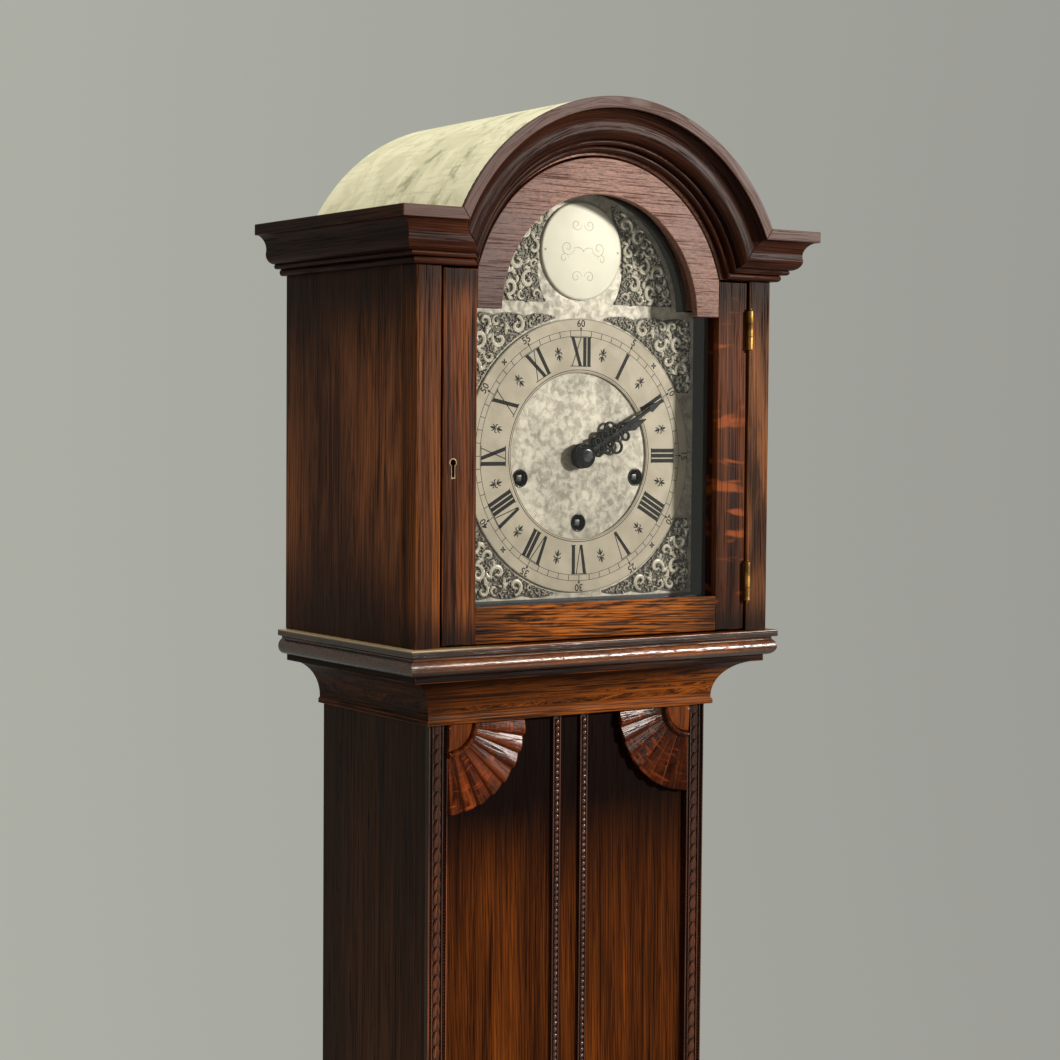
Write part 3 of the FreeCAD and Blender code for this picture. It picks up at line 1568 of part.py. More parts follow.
anchor = fuse(
    "anchor",
    pallets,
    rod("anchor_shaft", 2, (zero, y_inside + 0.3, z_anchor), cock_plane - 0.3, "Y"),
    rod("anchor_pivots", anchor_pivot, (zero, y_plate, z_anchor), cock_plane + 2.5, "Y"),
    box("crutch_arm", (-2, 2), (crutch_start, crutch_end), (fork_z, z_anchor)),
    box("crutch_bar", (-fork_out, fork_out), (crutch_start, crutch_end), (fork_z - 2, fork_z + 2)),
    box(
        "fork_left",
        (-fork_out, -fork_in),
        (crutch_start, y_pendulum + rod_radius + 1),
        (fork_z - 2, fork_z + 2),
    ),
    box(
        "fork_right",
        (fork_in, fork_out),
        (crutch_start, y_pendulum + rod_radius + 1),
        (fork_z - 2, fork_z + 2),
    ),
)
node("anchor_and_crutch", anchor)
cock_low = z_anchor - 7
cock_high = z_anchor + 14
chop_half = rear_fit * 5
strip_half = rear_fit * 4
cock = cut(
    "cock",
    fuse(
        "cock_body",
        box("cock_left", (-18, -14), (y_behind, cock_plane + 3), (cock_low, cock_high)),
        box("cock_right", (14, 18), (y_behind, cock_plane + 3), (cock_low, cock_high)),
        box("cock_bridge", (-18, 18), (cock_plane, cock_plane + 3), (cock_low, cock_high)),
        box("chops", (-6, 6), (cock_plane + 2, y_pendulum + chop_half + 1), (z_anchor + 4, cock_high)),
    ),
    rod("cock_bore", anchor_pivot + running_fit, (zero, cock_plane - 1, z_anchor), cock_plane + 4, "Y"),
    box(
        "chop_slot",
        (-1.2, 1.2),
        (y_pendulum - chop_half, y_pendulum + chop_half),
        (z_anchor + 3, cock_high - 3),
    ),
)
node("back_cock", cock)

# The pendulum: suspension strip, rod, brass bob and the nut that regulates it
z_bob = z_anchor - pendulum_length
rod_end = z_bob - bob_radius - 14
node(
    "pendulum_rod",
    fuse(
        "pendulum",
        box(
            "suspension",
            (-0.2, 0.2),
            (y_pendulum - strip_half, y_pendulum + strip_half),
            (z_anchor - 12, cock_high - 3.4),
        ),
        box(
            "pendulum_hook",
            (-4, 4),
            (y_pendulum - strip_half, y_pendulum + strip_half),
            (z_anchor - 20, z_anchor - 10),
        ),
        rod("pendulum_shaft", rod_radius, (zero, y_pendulum, rod_end), z_anchor - 19, "Z"),
    ),
)
bob_rim = bob_depth / 8
outline = [
    (zero, bob_depth / 2),
    (zero, -bob_depth / 2),
    (bob_radius, -bob_rim),
    (bob_radius, bob_rim),
]
bob_crown = crown_radius(bob_radius, bob_depth / 2 - bob_rim)
lens = turned("bob_lens", "XY_Plane", outline, "Y_Axis", (zero, y_pendulum, z_bob),
              {1: (bob_crown, 1), 3: (bob_crown, 1)})
bob_bore = rod(
    "bob_bore",
    rod_radius + running_fit,
    (zero, y_pendulum, z_bob - bob_radius - 1),
    z_bob + bob_radius + 1,
    "Z",
)
node("pendulum_bob", cut("bob", lens, bob_bore))
nut_top = z_bob - bob_radius - 0.4
node(
    "rating_nut",
    cut(
        "nut",
        rod("nut_body", rod_radius * 2.8, (zero, y_pendulum, nut_top - 6), nut_top, "Z"),
        rod("nut_thread", rod_radius + running_fit, (zero, y_pendulum, nut_top - 7), nut_top + 1, "Z"),
    ),
)

# Gongs on the back board, and the hammers that strike them
z_gong = z_seat_low - 3
gong_back = y_rear_inner
gong_front = gong_back - rear_fit * 22
y_gong = level("y_gong", gong_back - rear_fit * 11)
block_high = z_gong + 18
gong_end = gong_start + (GONGS - 1) * gong_pitch
node(
    "gong_block",
    box("gong_bar", (gong_start - 8, gong_end + 8), (gong_front, gong_back), (z_gong, block_high)),
)
gongs = []
for number in range(GONGS):
    x = gong_start + number * gong_pitch
    gongs.append(rod(f"gong_{number}", gong_radius, (x, y_gong, z_gong - gong_length), z_gong, "Z"))
node("gong_rods", *gongs)
hammer_y = level("hammer_y", y_behind + rear_fit * 11)
z_hammer = level("z_hammer", z_seat + 6)
hub_half = gong_pitch * 0.27
rail_left = gong_start - hub_half - 3
rail_right = gong_end + hub_half + 0.4
node(
    "hammer_rail",
    fuse(
        "rail",
        rod("hammer_arbor", 2, (rail_left, hammer_y, z_hammer), rail_right + 2.5, "X"),
        box(
            "bracket_left",
            (rail_left, rail_left + 2.5),
            (y_behind, hammer_y + 4),
            (z_hammer - 5, z_hammer + 5),
        ),
        box(
            "bracket_right",
            (rail_right, rail_right + 2.5),
            (y_behind, hammer_y + 4),
            (z_hammer - 5, z_hammer + 5),
        ),
    ),
)
hammers = []
z_head = z_hammer - hammer_length
for number in range(GONGS):
    x = gong_start + number * gong_pitch
    hammers.append(
        cut(
            f"hammer_{number}",
            fuse(
                f"hammer_body_{number}",
                rod(f"hammer_hub_{number}", 4, (x - hub_half, hammer_y, z_hammer), x + hub_half, "X"),
                box(
                    f"hammer_arm_{number}",
                    (x - 1, x + 1),
                    (hammer_y - 1.5, hammer_y + 1.5),
                    (z_head - 2, z_hammer - 3),
                ),
                rod(
                    f"hammer_head_{number}",
                    hammer_radius,
                    (x, hammer_y - rear_fit * 3, z_head),
                    y_gong - gong_radius - hammer_gap,
                    "Y",
                ),
            ),
            rod(
                f"hammer_bore_{number}",
                2 + running_fit,
                (x - hub_half - 1, hammer_y, z_hammer),
                x + hub_half + 1,
                "X",
            ),
        )
    )
node("chime_hammers", *hammers)

doc.recompute()
for obj in doc.Objects:
    if "Invalid" in obj.State or "Error" in obj.State:
        raise RuntimeError(f"{obj.Label} did not compute: {obj.State}")
for obj in nodes:
    if obj.Shape.isNull() or not obj.Shape.isValid() or not obj.Shape.Solids:
        raise RuntimeError(f"{obj.Label} has no valid solid")
os.makedirs("parts", exist_ok=True)
for obj in nodes:
    obj.Shape.exportStep(os.path.join("parts", obj.Label + ".step"))
print(len(nodes), "nodes,", sum(len(obj.Shape.Solids) for obj in nodes), "solids")
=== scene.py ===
"""Longcase clock of grandmother size: the looks of the case, dial and movement."""
import bmesh
import bpy
import json
import math
import random
from mathutils import Matrix, Vector

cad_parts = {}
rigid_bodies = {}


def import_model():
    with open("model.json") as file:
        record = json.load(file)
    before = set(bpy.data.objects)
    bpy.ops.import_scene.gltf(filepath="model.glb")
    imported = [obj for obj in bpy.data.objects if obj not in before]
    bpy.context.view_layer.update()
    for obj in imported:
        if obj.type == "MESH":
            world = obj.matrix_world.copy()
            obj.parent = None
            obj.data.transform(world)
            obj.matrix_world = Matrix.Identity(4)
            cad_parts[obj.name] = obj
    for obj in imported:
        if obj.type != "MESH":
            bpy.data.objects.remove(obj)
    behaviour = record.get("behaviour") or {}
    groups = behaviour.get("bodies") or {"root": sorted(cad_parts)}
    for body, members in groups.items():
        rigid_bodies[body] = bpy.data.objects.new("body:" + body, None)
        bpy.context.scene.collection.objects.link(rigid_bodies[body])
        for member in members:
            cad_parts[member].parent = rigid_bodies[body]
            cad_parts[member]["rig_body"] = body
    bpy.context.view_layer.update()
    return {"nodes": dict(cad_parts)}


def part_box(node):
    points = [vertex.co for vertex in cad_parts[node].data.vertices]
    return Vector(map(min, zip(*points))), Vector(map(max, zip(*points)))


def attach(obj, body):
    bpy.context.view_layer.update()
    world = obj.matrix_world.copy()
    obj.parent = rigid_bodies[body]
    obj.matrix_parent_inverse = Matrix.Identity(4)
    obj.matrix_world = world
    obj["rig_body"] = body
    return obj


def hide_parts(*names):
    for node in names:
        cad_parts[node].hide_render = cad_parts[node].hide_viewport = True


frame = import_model()
nodes = frame["nodes"]

# The studio: a plain pale floor, a grey room, one lamp to the right of the front that throws the
# door frame's shadow on the dial, a soft lamp overhead, and the camera at the photograph's angle.
scene = bpy.context.scene
scene.view_settings.view_transform = "Standard"
AMBIENT = 0.26
WALL_TURN = (0.32, 0.78)
FLOOR_RADIUS, FLOOR_DROP = 2.6, 0.0002
DIAL = Vector((0.0, -0.0465, 1.371))
LAMP_TINT = (1.0, 0.965, 0.9)
YAW, TILT, ROLL = math.radians(34.36), math.radians(2.79), math.radians(0.44)
EYE, SENSOR_MM, LENS_MM = (-0.85996, -1.2483, 1.3939), 36.0, 76.203


def shade(red, green, blue):
    """A colour as it is seen on a screen, 0 to 255, in linear light."""
    parts = [part / 255 for part in (red, green, blue)]
    return (*(part / 12.92 if part <= 0.04045 else ((part + 0.055) / 1.055) ** 2.4 for part in parts), 1.0)


class Value:
    """A node's socket that takes part in sums."""

    def __init__(self, graph, socket):
        self.graph = graph
        self.socket = socket

    def sum(self, operation, one, other):
        return self.graph.add("ShaderNodeMath", {"operation": operation}, {0: one, 1: other})

    def __add__(self, other):
        return self.sum("ADD", self, other)

    __radd__ = __add__

    def __sub__(self, other):
        return self.sum("SUBTRACT", self, other)

    def __rsub__(self, other):
        return self.sum("SUBTRACT", other, self)

    def __mul__(self, other):
        return self.sum("MULTIPLY", self, other)

    __rmul__ = __mul__


class Graph:
    """A node tree to which nodes are added one at a time."""

    def __init__(self, tree):
        self.tree = tree

    def add(self, kind, settings=None, sockets=None, out=0):
        """Adds one node: its settings first, then the values or links of its sockets."""
        node = self.tree.nodes.new(kind)
        for key, value in (settings or {}).items():
            setattr(node, key, value)
        for key, value in (sockets or {}).items():
            if isinstance(value, Value):
                self.tree.links.new(value.socket, node.inputs[key])
            else:
                node.inputs[key].default_value = value
        return Value(self, node.outputs[out]) if len(node.outputs) else node


class Finish(Graph):
    """A material built up from nodes."""

    def __init__(self, name):
        self.material = bpy.data.materials.new(name)
        self.material.use_nodes = True
        super().__init__(self.material.node_tree)
        self.tree.nodes.clear()

    def place(self):
        return self.add("ShaderNodeTexCoord", out=3)

    def axis(self, index):
        return self.add("ShaderNodeSeparateXYZ", {}, {0: self.place()}, index)

    def stretched(self, place, scales):
        return self.add("ShaderNodeVectorMath", {"operation": "MULTIPLY"}, {0: place, 1: scales})

    def noise(self, place, scales, detail=2.0, roughness=0.55, twist=0.0):
        """Cloudy noise on a place stretched by one scale or by three."""
        scales = scales if isinstance(scales, tuple) else (scales,) * 3
        return self.add("ShaderNodeTexNoise", {}, {
            "Vector": self.stretched(place, scales), "Scale": 1.0, "Detail": detail, "Roughness": roughness,
            "Distortion": twist})

    def step(self, value, low, high, start=0.0, end=1.0):
        """A value brought from one range to another, held at both ends."""
        return self.add("ShaderNodeMapRange", {"interpolation_type": "SMOOTHSTEP"}, {
            0: value, 1: low, 2: high, 3: start, 4: end})

    def mix(self, one, other, amount):
        return self.add("ShaderNodeMix", {"data_type": "RGBA"}, {0: amount, 6: one, 7: other}, 2)

    def attribute(self, name, out):
        return self.add("ShaderNodeAttribute", {"attribute_name": name}, {}, out)

    def bump(self, height, depth, strength=0.6):
        return self.add("ShaderNodeBump", {}, {"Strength": strength, "Distance": depth, "Height": height})

    def close(self, **sockets):
        """Ends the material in one shader, its sockets named with _ for a space."""
        names = {key.replace("_", " "): value for key, value in sockets.items()}
        surface = self.add("ShaderNodeBsdfPrincipled", {}, names)
        self.add("ShaderNodeOutputMaterial", {}, {0: surface})
        return self.material


def placed(name, data):
    """An object in the scene, at the origin."""
    piece = bpy.data.objects.new(name, data)
    scene.collection.objects.link(piece)
    return piece


def built(name, form, finish):
    """Makes an object at the origin from a bmesh, its faces pointing outwards."""
    bmesh.ops.recalc_face_normals(form, faces=form.faces)
    mesh = bpy.data.meshes.new(name)
    form.to_mesh(mesh)
    form.free()
    mesh.materials.append(finish)
    return placed(name, mesh)


world = bpy.data.worlds.new("room")
scene.world = world
world.use_nodes = True
world.node_tree.nodes.clear()
room = Graph(world.node_tree)
rays = [room.add("ShaderNodeLightPath", {}, {}, name) for name in
        ("Is Camera Ray", "Is Glossy Ray", "Is Transmission Ray")]
seen = room.add("ShaderNodeMath", {"operation": "MINIMUM"}, {0: rays[0] + rays[1] + rays[2], 1: 1.0})
lit, far_wall, near_wall = (
    room.add("ShaderNodeBackground", {}, {"Color": shade(*colour), "Strength": strength})
    for colour, strength in (((255, 250, 243), AMBIENT), ((174, 176, 166), 1.0), ((154, 154, 148), 1.0)))
sideways = room.add("ShaderNodeSeparateXYZ", {}, {0: room.add("ShaderNodeTexCoord", out=0)}, 0)
drawn = room.add("ShaderNodeMapRange", {}, {0: sideways, 1: WALL_TURN[0], 2: WALL_TURN[1]})
wall = room.add("ShaderNodeMixShader", {}, {0: drawn, 1: far_wall, 2: near_wall})
room.add("ShaderNodeOutputWorld", {}, {0: room.add("ShaderNodeMixShader", {}, {0: seen, 1: lit, 2: wall})})

finish = Finish("pale_floor")
cloud = finish.noise(finish.place(), 3.0, 3.0)
tint = finish.mix(shade(196, 197, 191), shade(206, 207, 202), cloud)
form = bmesh.new()
bmesh.ops.create_circle(form, cap_ends=True, radius=FLOOR_RADIUS, segments=128,
                        matrix=Matrix.Translation((0, 0, -FLOOR_DROP)))
built("floor", form, finish.close(Base_Color=tint, Roughness=0.75))

for name, place, width, power in (
    ("key_lamp", (2.0, -2.45, 2.02), 0.3, 127.0),
    ("overhead_lamp", (-0.25, 0.05, 3.35), 1.2, 41.0),
):
    lamp = bpy.data.lights.new(name, "AREA")
    lamp.energy = power
    lamp.size = width
    lamp.color = LAMP_TINT
    holder = placed(name, lamp)
    holder.location = place
    holder.rotation_euler = (DIAL - Vector(place)).to_track_quat("-Z", "Y").to_euler()

forward = Vector((math.sin(YAW) * math.cos(TILT), math.cos(YAW) * math.cos(TILT), -math.sin(TILT)))
right = Vector((math.cos(YAW), -math.sin(YAW), 0.0))
upward = right.cross(forward)
across = right * math.cos(ROLL) + upward * math.sin(ROLL)
above = upward * math.cos(ROLL) - right * math.sin(ROLL)
lens = bpy.data.cameras.new("view")
lens.sensor_width = SENSOR_MM
lens.lens = LENS_MM
scene.camera = placed("view", lens)
scene.camera.matrix_world = Matrix.Translation(EYE) @ Matrix((across, above, -forward)).transposed().to_4x4()

# The plinth: three oak panels and a lid in one box on the floor, a mitred skirting round its foot
# and the sloped waist moulding that carries the trunk. Glued and pinned, fumed dark and waxed.
OAK_PALER, OAK_DARKER, OAK_HOLLOW = (1.15, 1.1, 0.9), (0.74, 0.76, 0.72), (0.35, 0.33, 0.4)
DRIFT, STREAK, PORE, WEAR = (14, 14, 3), (520, 520, 7), (1350, 1350, 24), (60, 60, 25)
WAVE_LENGTH, WAVE_ALONG = 0.628, 0.035
MITRE, ON_MITRE, WELD = 0.069, 1e-5, 2e-6
FLAT, SHARP = math.radians(0.5), math.radians(33)


def deeper(colour, parts):
    """A colour with each of its parts multiplied."""
    return (*(one * part for one, part in zip(colour, parts)), 1.0)


def oak(name, stain, contrast=1.0, rings=(95, 3.2), figure=0.5, fleck=None, rough=0.42, polish=0.06, shade_and_soot=(),
        twist=0.5, bare=(), lines=(0.0026, 0.5), groove_shade=(), rubbed_to=(186, 164, 124)):
    """Stained oak: growth rings, open pores and ray flecks along the grain, worn at its edges.

    Flecks are given as (amount, fineness across, fineness along), painted shade with grime as a row of
    (axis, where it is full, where it has gone, strength), bare wood as a row of (axis, where it starts, where
    it is full) with its colour in rubbed_to, growth lines as (pitch, strength) and painted groove shade as a
    row of (axis, low, high).
    """
    finish = Finish(name)
    stain = shade(*stain)
    pale = deeper(stain, [1 + part * contrast for part in OAK_PALER])
    dark = deeper(stain, [1 - part * contrast for part in OAK_DARKER])
    hollow = deeper(dark, OAK_HOLLOW)
    grain = finish.attribute("grain", 1)
    drift = finish.noise(grain, DRIFT, 2)
    ring = finish.step(finish.noise(grain, (rings[0], rings[0], rings[1]), 3, 0.62, twist), 0.37, 0.61)
    streak = finish.step(finish.noise(grain, STREAK, 3, 0.65), 0.34, 0.66)
    pore = finish.step(finish.noise(grain, PORE, 2, 0.6), 0.56, 0.68)
    tone = ring * figure + streak * (1 - figure)
    colour = finish.mix(dark, stain, tone)
    colour = finish.mix(colour, pale, finish.step(drift, 0.38, 0.66) * tone * 0.9)
    pitch, cut = lines
    spread = WAVE_LENGTH / pitch
    wave = finish.add("ShaderNodeTexWave", {"bands_direction": "DIAGONAL"}, {
        "Vector": finish.stretched(grain, (spread, spread, spread * WAVE_ALONG)), "Scale": 1.0,
        "Distortion": 7.0, "Detail": 3.0, "Detail Scale": 0.6, "Detail Roughness": 0.6}, 1)
    line = finish.step(wave, 0.6, 0.97) * finish.step(streak, 0.0, 0.8, 0.45, 1.0)
    colour = finish.mix(colour, dark, line * cut)
    if fleck:
        amount, wide, tall = fleck
        ray = finish.step(finish.noise(grain, (wide, wide, tall), 2, 0.6, 0.4), 0.56, 0.66)
        colour = finish.mix(colour, deeper(pale, (1.15, 1.0, 0.8)), ray * amount)
    colour = finish.mix(colour, hollow, pore * 0.7)
    # Painted shade with grime: each row darkens the wood towards one end of an axis, where shade falls on it.
    for axis, full, gone, strength in shade_and_soot:
        shadow = finish.step(finish.axis(axis), full, gone, 1.0, 0.0)
        ragged = finish.step(drift + streak * 0.25, 0.3, 0.75, 0.8, 1.0)
        colour = finish.mix(colour, hollow, shadow * ragged * strength)
    # Painted shade: each band is darkened as the shade in a groove.
    for axis, low, high in groove_shade:
        edge = (high - low) / 3
        dirt = (finish.step(finish.axis(axis), low, low + edge)
                * finish.step(finish.axis(axis), high - edge, high, 1.0, 0.0))
        colour = finish.mix(colour, hollow, dirt * 0.92)
    rubbed = finish.attribute("worn", 2) * finish.step(finish.noise(grain, WEAR, 3), 0.4, 0.62)
    colour = finish.mix(colour, pale, rubbed * 0.7)
    if bare:
        raw = streak * 0.3 + 0.7
        for axis, start, full in bare:
            raw = raw * finish.step(finish.axis(axis), start, full)
        colour = finish.mix(colour, shade(*rubbed_to), raw)
    return finish.close(
        Base_Color=colour,
        Roughness=rough + pore * 0.25 + drift * 0.1,
        Specular_IOR_Level=polish,
        Normal=finish.bump(streak * 0.35 - pore, 0.00022, 0.55),
    )


def boards(form):
    """The separate boards of a piece, as lists of vertices."""
    done = set()
    for first in form.verts:
        if first in done:
            continue
        done.add(first)
        found = [first]
        for vert in found:
            for edge in vert.link_edges:
                other = edge.other_vert(vert)
                if other not in done:
                    done.add(other)
                    found.append(other)
        yield found


def grained(form, name, bent=None):
    """Marks every vertex with its place in its board, the third part along the grain."""
    layer = form.verts.layers.float_vector.new("grain")
    chance = random.Random(name)
    for board in boards(form):
        low, high = ([pick(vert.co[axis] for vert in board) for axis in range(3)] for pick in (min, max))
        long_way = max(range(3), key=lambda axis: high[axis] - low[axis])
        shift = Vector([chance.uniform(-9, 9) for axis in range(3)])
        for vert in board:
            straight = Vector([vert.co[(long_way + turn) % 3] for turn in (1, 2, 0)])
            vert[layer] = (bent(vert.co) if bent else straight) + shift


def baked(piece):
    """Leaves a piece as the plain mesh that its modifiers make of it."""
    shown = piece.evaluated_get(bpy.context.evaluated_depsgraph_get())
    piece.data = bpy.data.meshes.new_from_object(shown)
    piece.modifiers.clear()
    return piece


def fair(piece):
    """Smooths a piece's shading so that flat faces stay flat."""
    for face in piece.data.polygons:
        face.use_smooth = True
    piece.modifiers.new("fair", "WEIGHTED_NORMAL").weight = 90
    return baked(piece)


def settle(piece, slot, *replaced, body=None):
    """Says what a finished piece stands for and what it moves with; the slot, what it is made of, is not
    used.
    """
    if replaced:
        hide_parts(*replaced)
    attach(piece, body or nodes[replaced[0]]["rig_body"])


def mitred(place):
    """Grain that turns with a mitred moulding, along the front or back along a side."""
    if abs(place.x) + place.y < MITRE:
        return Vector((-place.y, place.z, place.x))
    return Vector((abs(place.x), place.z, place.y))


def eased(node, rounding):
    """A copy of a piece's solid with its sharp outer edges rounded and marked as worn."""
    form = bmesh.new()
    form.from_mesh(nodes[node].data)
    inner = [face for face in form.faces
             if all(abs(abs(vert.co.x) + vert.co.y - MITRE) < ON_MITRE for vert in face.verts)
             and len({vert.co.x > 0 for vert in face.verts}) == 1]
    bmesh.ops.delete(form, geom=inner, context="FACES")
    bmesh.ops.remove_doubles(form, verts=form.verts, dist=WELD)
    bmesh.ops.dissolve_limit(form, angle_limit=FLAT, verts=form.verts, edges=form.edges)
    sharp = [edge for edge in form.edges if len(edge.link_faces) == 2 and edge.is_convex
             and edge.calc_face_angle(0.0) > SHARP]
    done = bmesh.ops.bevel(form, geom=sharp, offset=rounding, offset_type="OFFSET", segments=2, profile=0.5,
                           affect="EDGES", clamp_overlap=False)
    low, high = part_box(node)
    for vert in form.verts:
        vert.co = [min(max(vert.co[axis], low[axis]), high[axis]) for axis in range(3)]
    fresh = set(done["faces"])
    layer = form.verts.layers.float.new("worn")
    for vert in form.verts:
        vert[layer] = 1.0 if vert.link_faces and all(face in fresh for face in vert.link_faces) else 0.0
    return form


def planed(node, finish, slot="dark_oak", rounding=0.0007, bent=None):
    """A wooden piece made over its solid, with eased edges and grain."""
    form = eased(node, rounding)
    grained(form, node, bent)
    settle(fair(built(node + "_planed", form, finish)), slot, node)


case_oak = oak("case_oak", (70, 40, 22))
moulding_oak = oak("moulding_oak", (82, 46, 30), rings=(150, 4))
planed("plinth_panels", case_oak)
planed("plinth_skirting", moulding_oak, bent=mitred)
planed("waist_moulding", moulding_oak, bent=mitred)

# The trunk: oak sides, a front panel set back between two carved strips, and a plain deal back
# board. The panel darkens towards the top, where the cove shades it and the wax has gathered.
side_oak = oak("side_oak", (60, 34, 17), rings=(70, 4), twist=0.9)
panel_oak = oak("panel_oak", (90, 43, 8), 1.2, rings=(210, 4), polish=0.03, lines=(0.0022, 0.6),
                shade_and_soot=((2, 1.165, 1.045, 1.14),))
planed("trunk_side_panels", side_oak)
planed("trunk_front_panel", panel_oak)
deal = oak("plain_deal", (160, 116, 72), 0.4, rings=(60, 2), rough=0.6)
planed("back_board", deal, "deal")
planed("hood_base_rails", deal, "deal")

# The carved strips: an oak strip at each edge of the front, cut with a column of overlapping
# leaves between two cords of small beads, all from one piece of wood.
STRIP_WIDTH, STRIP_DEPTH, FILLET_ROOT = 0.014, 0.0021, 0.0002
LEAF_PITCH, LEAF_LEAD = 0.0091, 0.001
CORD_PITCH, CORD_LEAD, CORD_OFFSET = 0.0023, 0.0005, 0.0053
# Painted shade with grime: the sunk ground and the top of the strips, under the cove, are darker.
carved_oak = oak("carved_oak", (104, 54, 26), rings=(160, 6), polish=0.25,
                 shade_and_soot=((1, -0.0402, -0.0420, 0.88), (2, 1.19, 1.02, 0.8)))

repeat = Graph(bpy.data.node_groups.new("row_or_ring", "GeometryNodeTree"))
sockets = {}
for name, kind in (("Template", "Object"), ("Finish", "Material"), ("Count", "Int"), ("First", "Vector"),
                   ("Pitch", "Vector"), ("Lead", "Float"), ("Turn", "Float")):
    sockets[name] = repeat.tree.interface.new_socket(name, in_out="INPUT", socket_type="NodeSocket" + kind)
repeat.tree.interface.new_socket("Geometry", in_out="OUTPUT", socket_type="NodeSocketGeometry")
entry = {name: repeat.add("NodeGroupInput", {}, {}, name) for name in sockets}
points = repeat.add("GeometryNodeMeshLine", {}, {
    "Count": entry["Count"], "Start Location": entry["First"], "Offset": entry["Pitch"]})
angle = entry["Lead"] + repeat.add("GeometryNodeInputIndex") * entry["Turn"]
spin = repeat.add("FunctionNodeAxisAngleToRotation", {}, {"Axis": (0.0, 1.0, 0.0), "Angle": angle})
shape = repeat.add("GeometryNodeObjectInfo", {}, {"Object": entry["Template"]}, "Geometry")
copies = repeat.add("GeometryNodeInstanceOnPoints", {}, {
    "Points": points, "Instance": shape, "Rotation": spin})
solid = repeat.add("GeometryNodeRealizeInstances", {}, {"Geometry": copies})
painted = repeat.add("GeometryNodeSetMaterial", {}, {"Geometry": solid, "Material": entry["Finish"]})
repeat.add("NodeGroupOutput", {}, {0: painted})


def repeated(name, template, finish, count, first, pitch=(0, 0, 0), lead=0.0, turn=0.0):
    """A plain mesh of one small shape repeated along a row, or turned round a middle."""
    bmesh.ops.recalc_face_normals(template, faces=template.faces)
    mesh = bpy.data.meshes.new(name + "_one")
    template.to_mesh(mesh)
    template.free()
    pattern = bpy.data.objects.new(name + "_one", mesh)
    piece = placed(name, bpy.data.meshes.new(name))
    modifier = piece.modifiers.new("row", "NODES")
    modifier.node_group = repeat.tree
    given = {"Template": pattern, "Finish": finish, "Count": count, "First": first, "Pitch": pitch,
             "Lead": lead, "Turn": turn}
    for key, value in given.items():
        modifier[sockets[key].identifier] = value
    baked(piece)
    bpy.data.objects.remove(pattern)
    return piece


def joined(pieces):
    """Several plain meshes made one."""
    form = bmesh.new()
    for piece in pieces:
        form.from_mesh(piece.data)
        bpy.data.objects.remove(piece)
    for face in form.faces:
        face.material_index = 0
    return form


def block(form, low, high):
    """A plain rectangular bar as part of a larger piece."""
    low, high = Vector(low), Vector(high)
    for vert in bmesh.ops.create_cube(form, size=1.0)["verts"]:
        vert.co = (low + high) / 2 + vert.co * (high - low)


def skin(form, rows, ring=False, loop=False):
    """Faces between rows of vertices: a ring closes each row, a loop joins the last row to the first."""
    for one, two in zip(rows, rows[1:] + rows[:1] if loop else rows[1:]):
        for index in range(len(one) if ring else len(one) - 1):
            after = (index + 1) % len(one)
            form.faces.new((one[index], one[after], two[after], two[index]))


def relief(form, half, length, rise, rows, columns, edge):
    """A raised leaf or bead on the plane y = 0, its width and height given by edge(across, along)."""
    grid = []
    for row in range(rows + 1):
        grid.append([])
        for column in range(columns + 1):
            u, v = column / columns * 2 - 1, row / rows
            width, height = edge(u, v)
            grid[-1].append(form.verts.new((half * u * width, -rise * height, length * v)))
    skin(form, grid)
    border = grid[0] + [line[-1] for line in grid[1:]] + grid[-1][-2::-1]
    form.faces.new(border + [line[0] for line in grid[-2:0:-1]])


def leaf_edge(u, v):
    """A leaf that swells from its root, comes to a point and is folded along its rib."""
    width = math.sin(math.pi * min(1.0, 0.22 + 0.78 * v)) ** 0.7
    height = (0.35 + 0.65 * v) * (1 - 0.55 * u * u) - (0.25 if abs(u) < 0.05 else 0.0)
    return width, max(height, 0.0)


def cord_edge(u, v):
    """A small bead, round both ways."""
    return math.sin(math.pi * (0.15 + 0.7 * v)) ** 0.5, max(0.0, math.sin(math.pi * v) * (1 - u * u))


def planted(name, node, box, wood, width, depth, carvings, fillets, smooth=False):
    """A pair of upright strips: rows of carving on a sunk ground, between square fillets.

    A carving is (offset from the strip's middle, pitch, height of the first, what relief is given), and a
    fillet (distance from the strip's edge, width, how far it stays below the front).
    """
    low, high = box
    ground = low.y + depth
    made = []
    for side in (-1, 1):
        middle = side * (high.x - width / 2)
        for offset, pitch, lead, cut in carvings:
            form = bmesh.new()
            relief(form, **cut)
            first = (middle + offset, ground, low.z + lead)
            count = int((high.z - low.z) / pitch)
            made.append(repeated(name + "_row", form, wood, count, first, (0, 0, pitch)))
    form = joined(made)
    for face in form.faces:
        face.smooth = smooth
    for side in (-1, 1):
        near, far = sorted((side * (high.x - width), side * high.x))
        block(form, (near, ground, low.z), (far, high.y, high.z))
        for inset, wide, below in fillets:
            for start in (near + inset, far - inset - wide):
                block(form, (start, low.y + below, low.z), (start + wide, ground + FILLET_ROOT, high.z))
    layer = form.verts.layers.float_vector.new("grain")
    for vert in form.verts:
        vert[layer] = vert.co
    settle(built(name, form, wood), "dark_oak", node)


leaf = dict(half=0.0027, length=LEAF_PITCH * 1.12, rise=0.0019, rows=5, columns=4, edge=leaf_edge)
cord = dict(half=0.00085, length=CORD_PITCH * 0.96, rise=0.0016, rows=3, columns=2, edge=cord_edge)
planted("carved_strips", "carved_edge_strips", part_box("carved_edge_strips"), carved_oak, STRIP_WIDTH,
        STRIP_DEPTH, ((0.0, LEAF_PITCH, LEAF_LEAD, leaf), (-CORD_OFFSET, CORD_PITCH, CORD_LEAD, cord),
                      (CORD_OFFSET, CORD_PITCH, CORD_LEAD, cord)),
        ((0.0, 0.0007, 0.0006), (0.0029, 0.0007, 0.0012)))

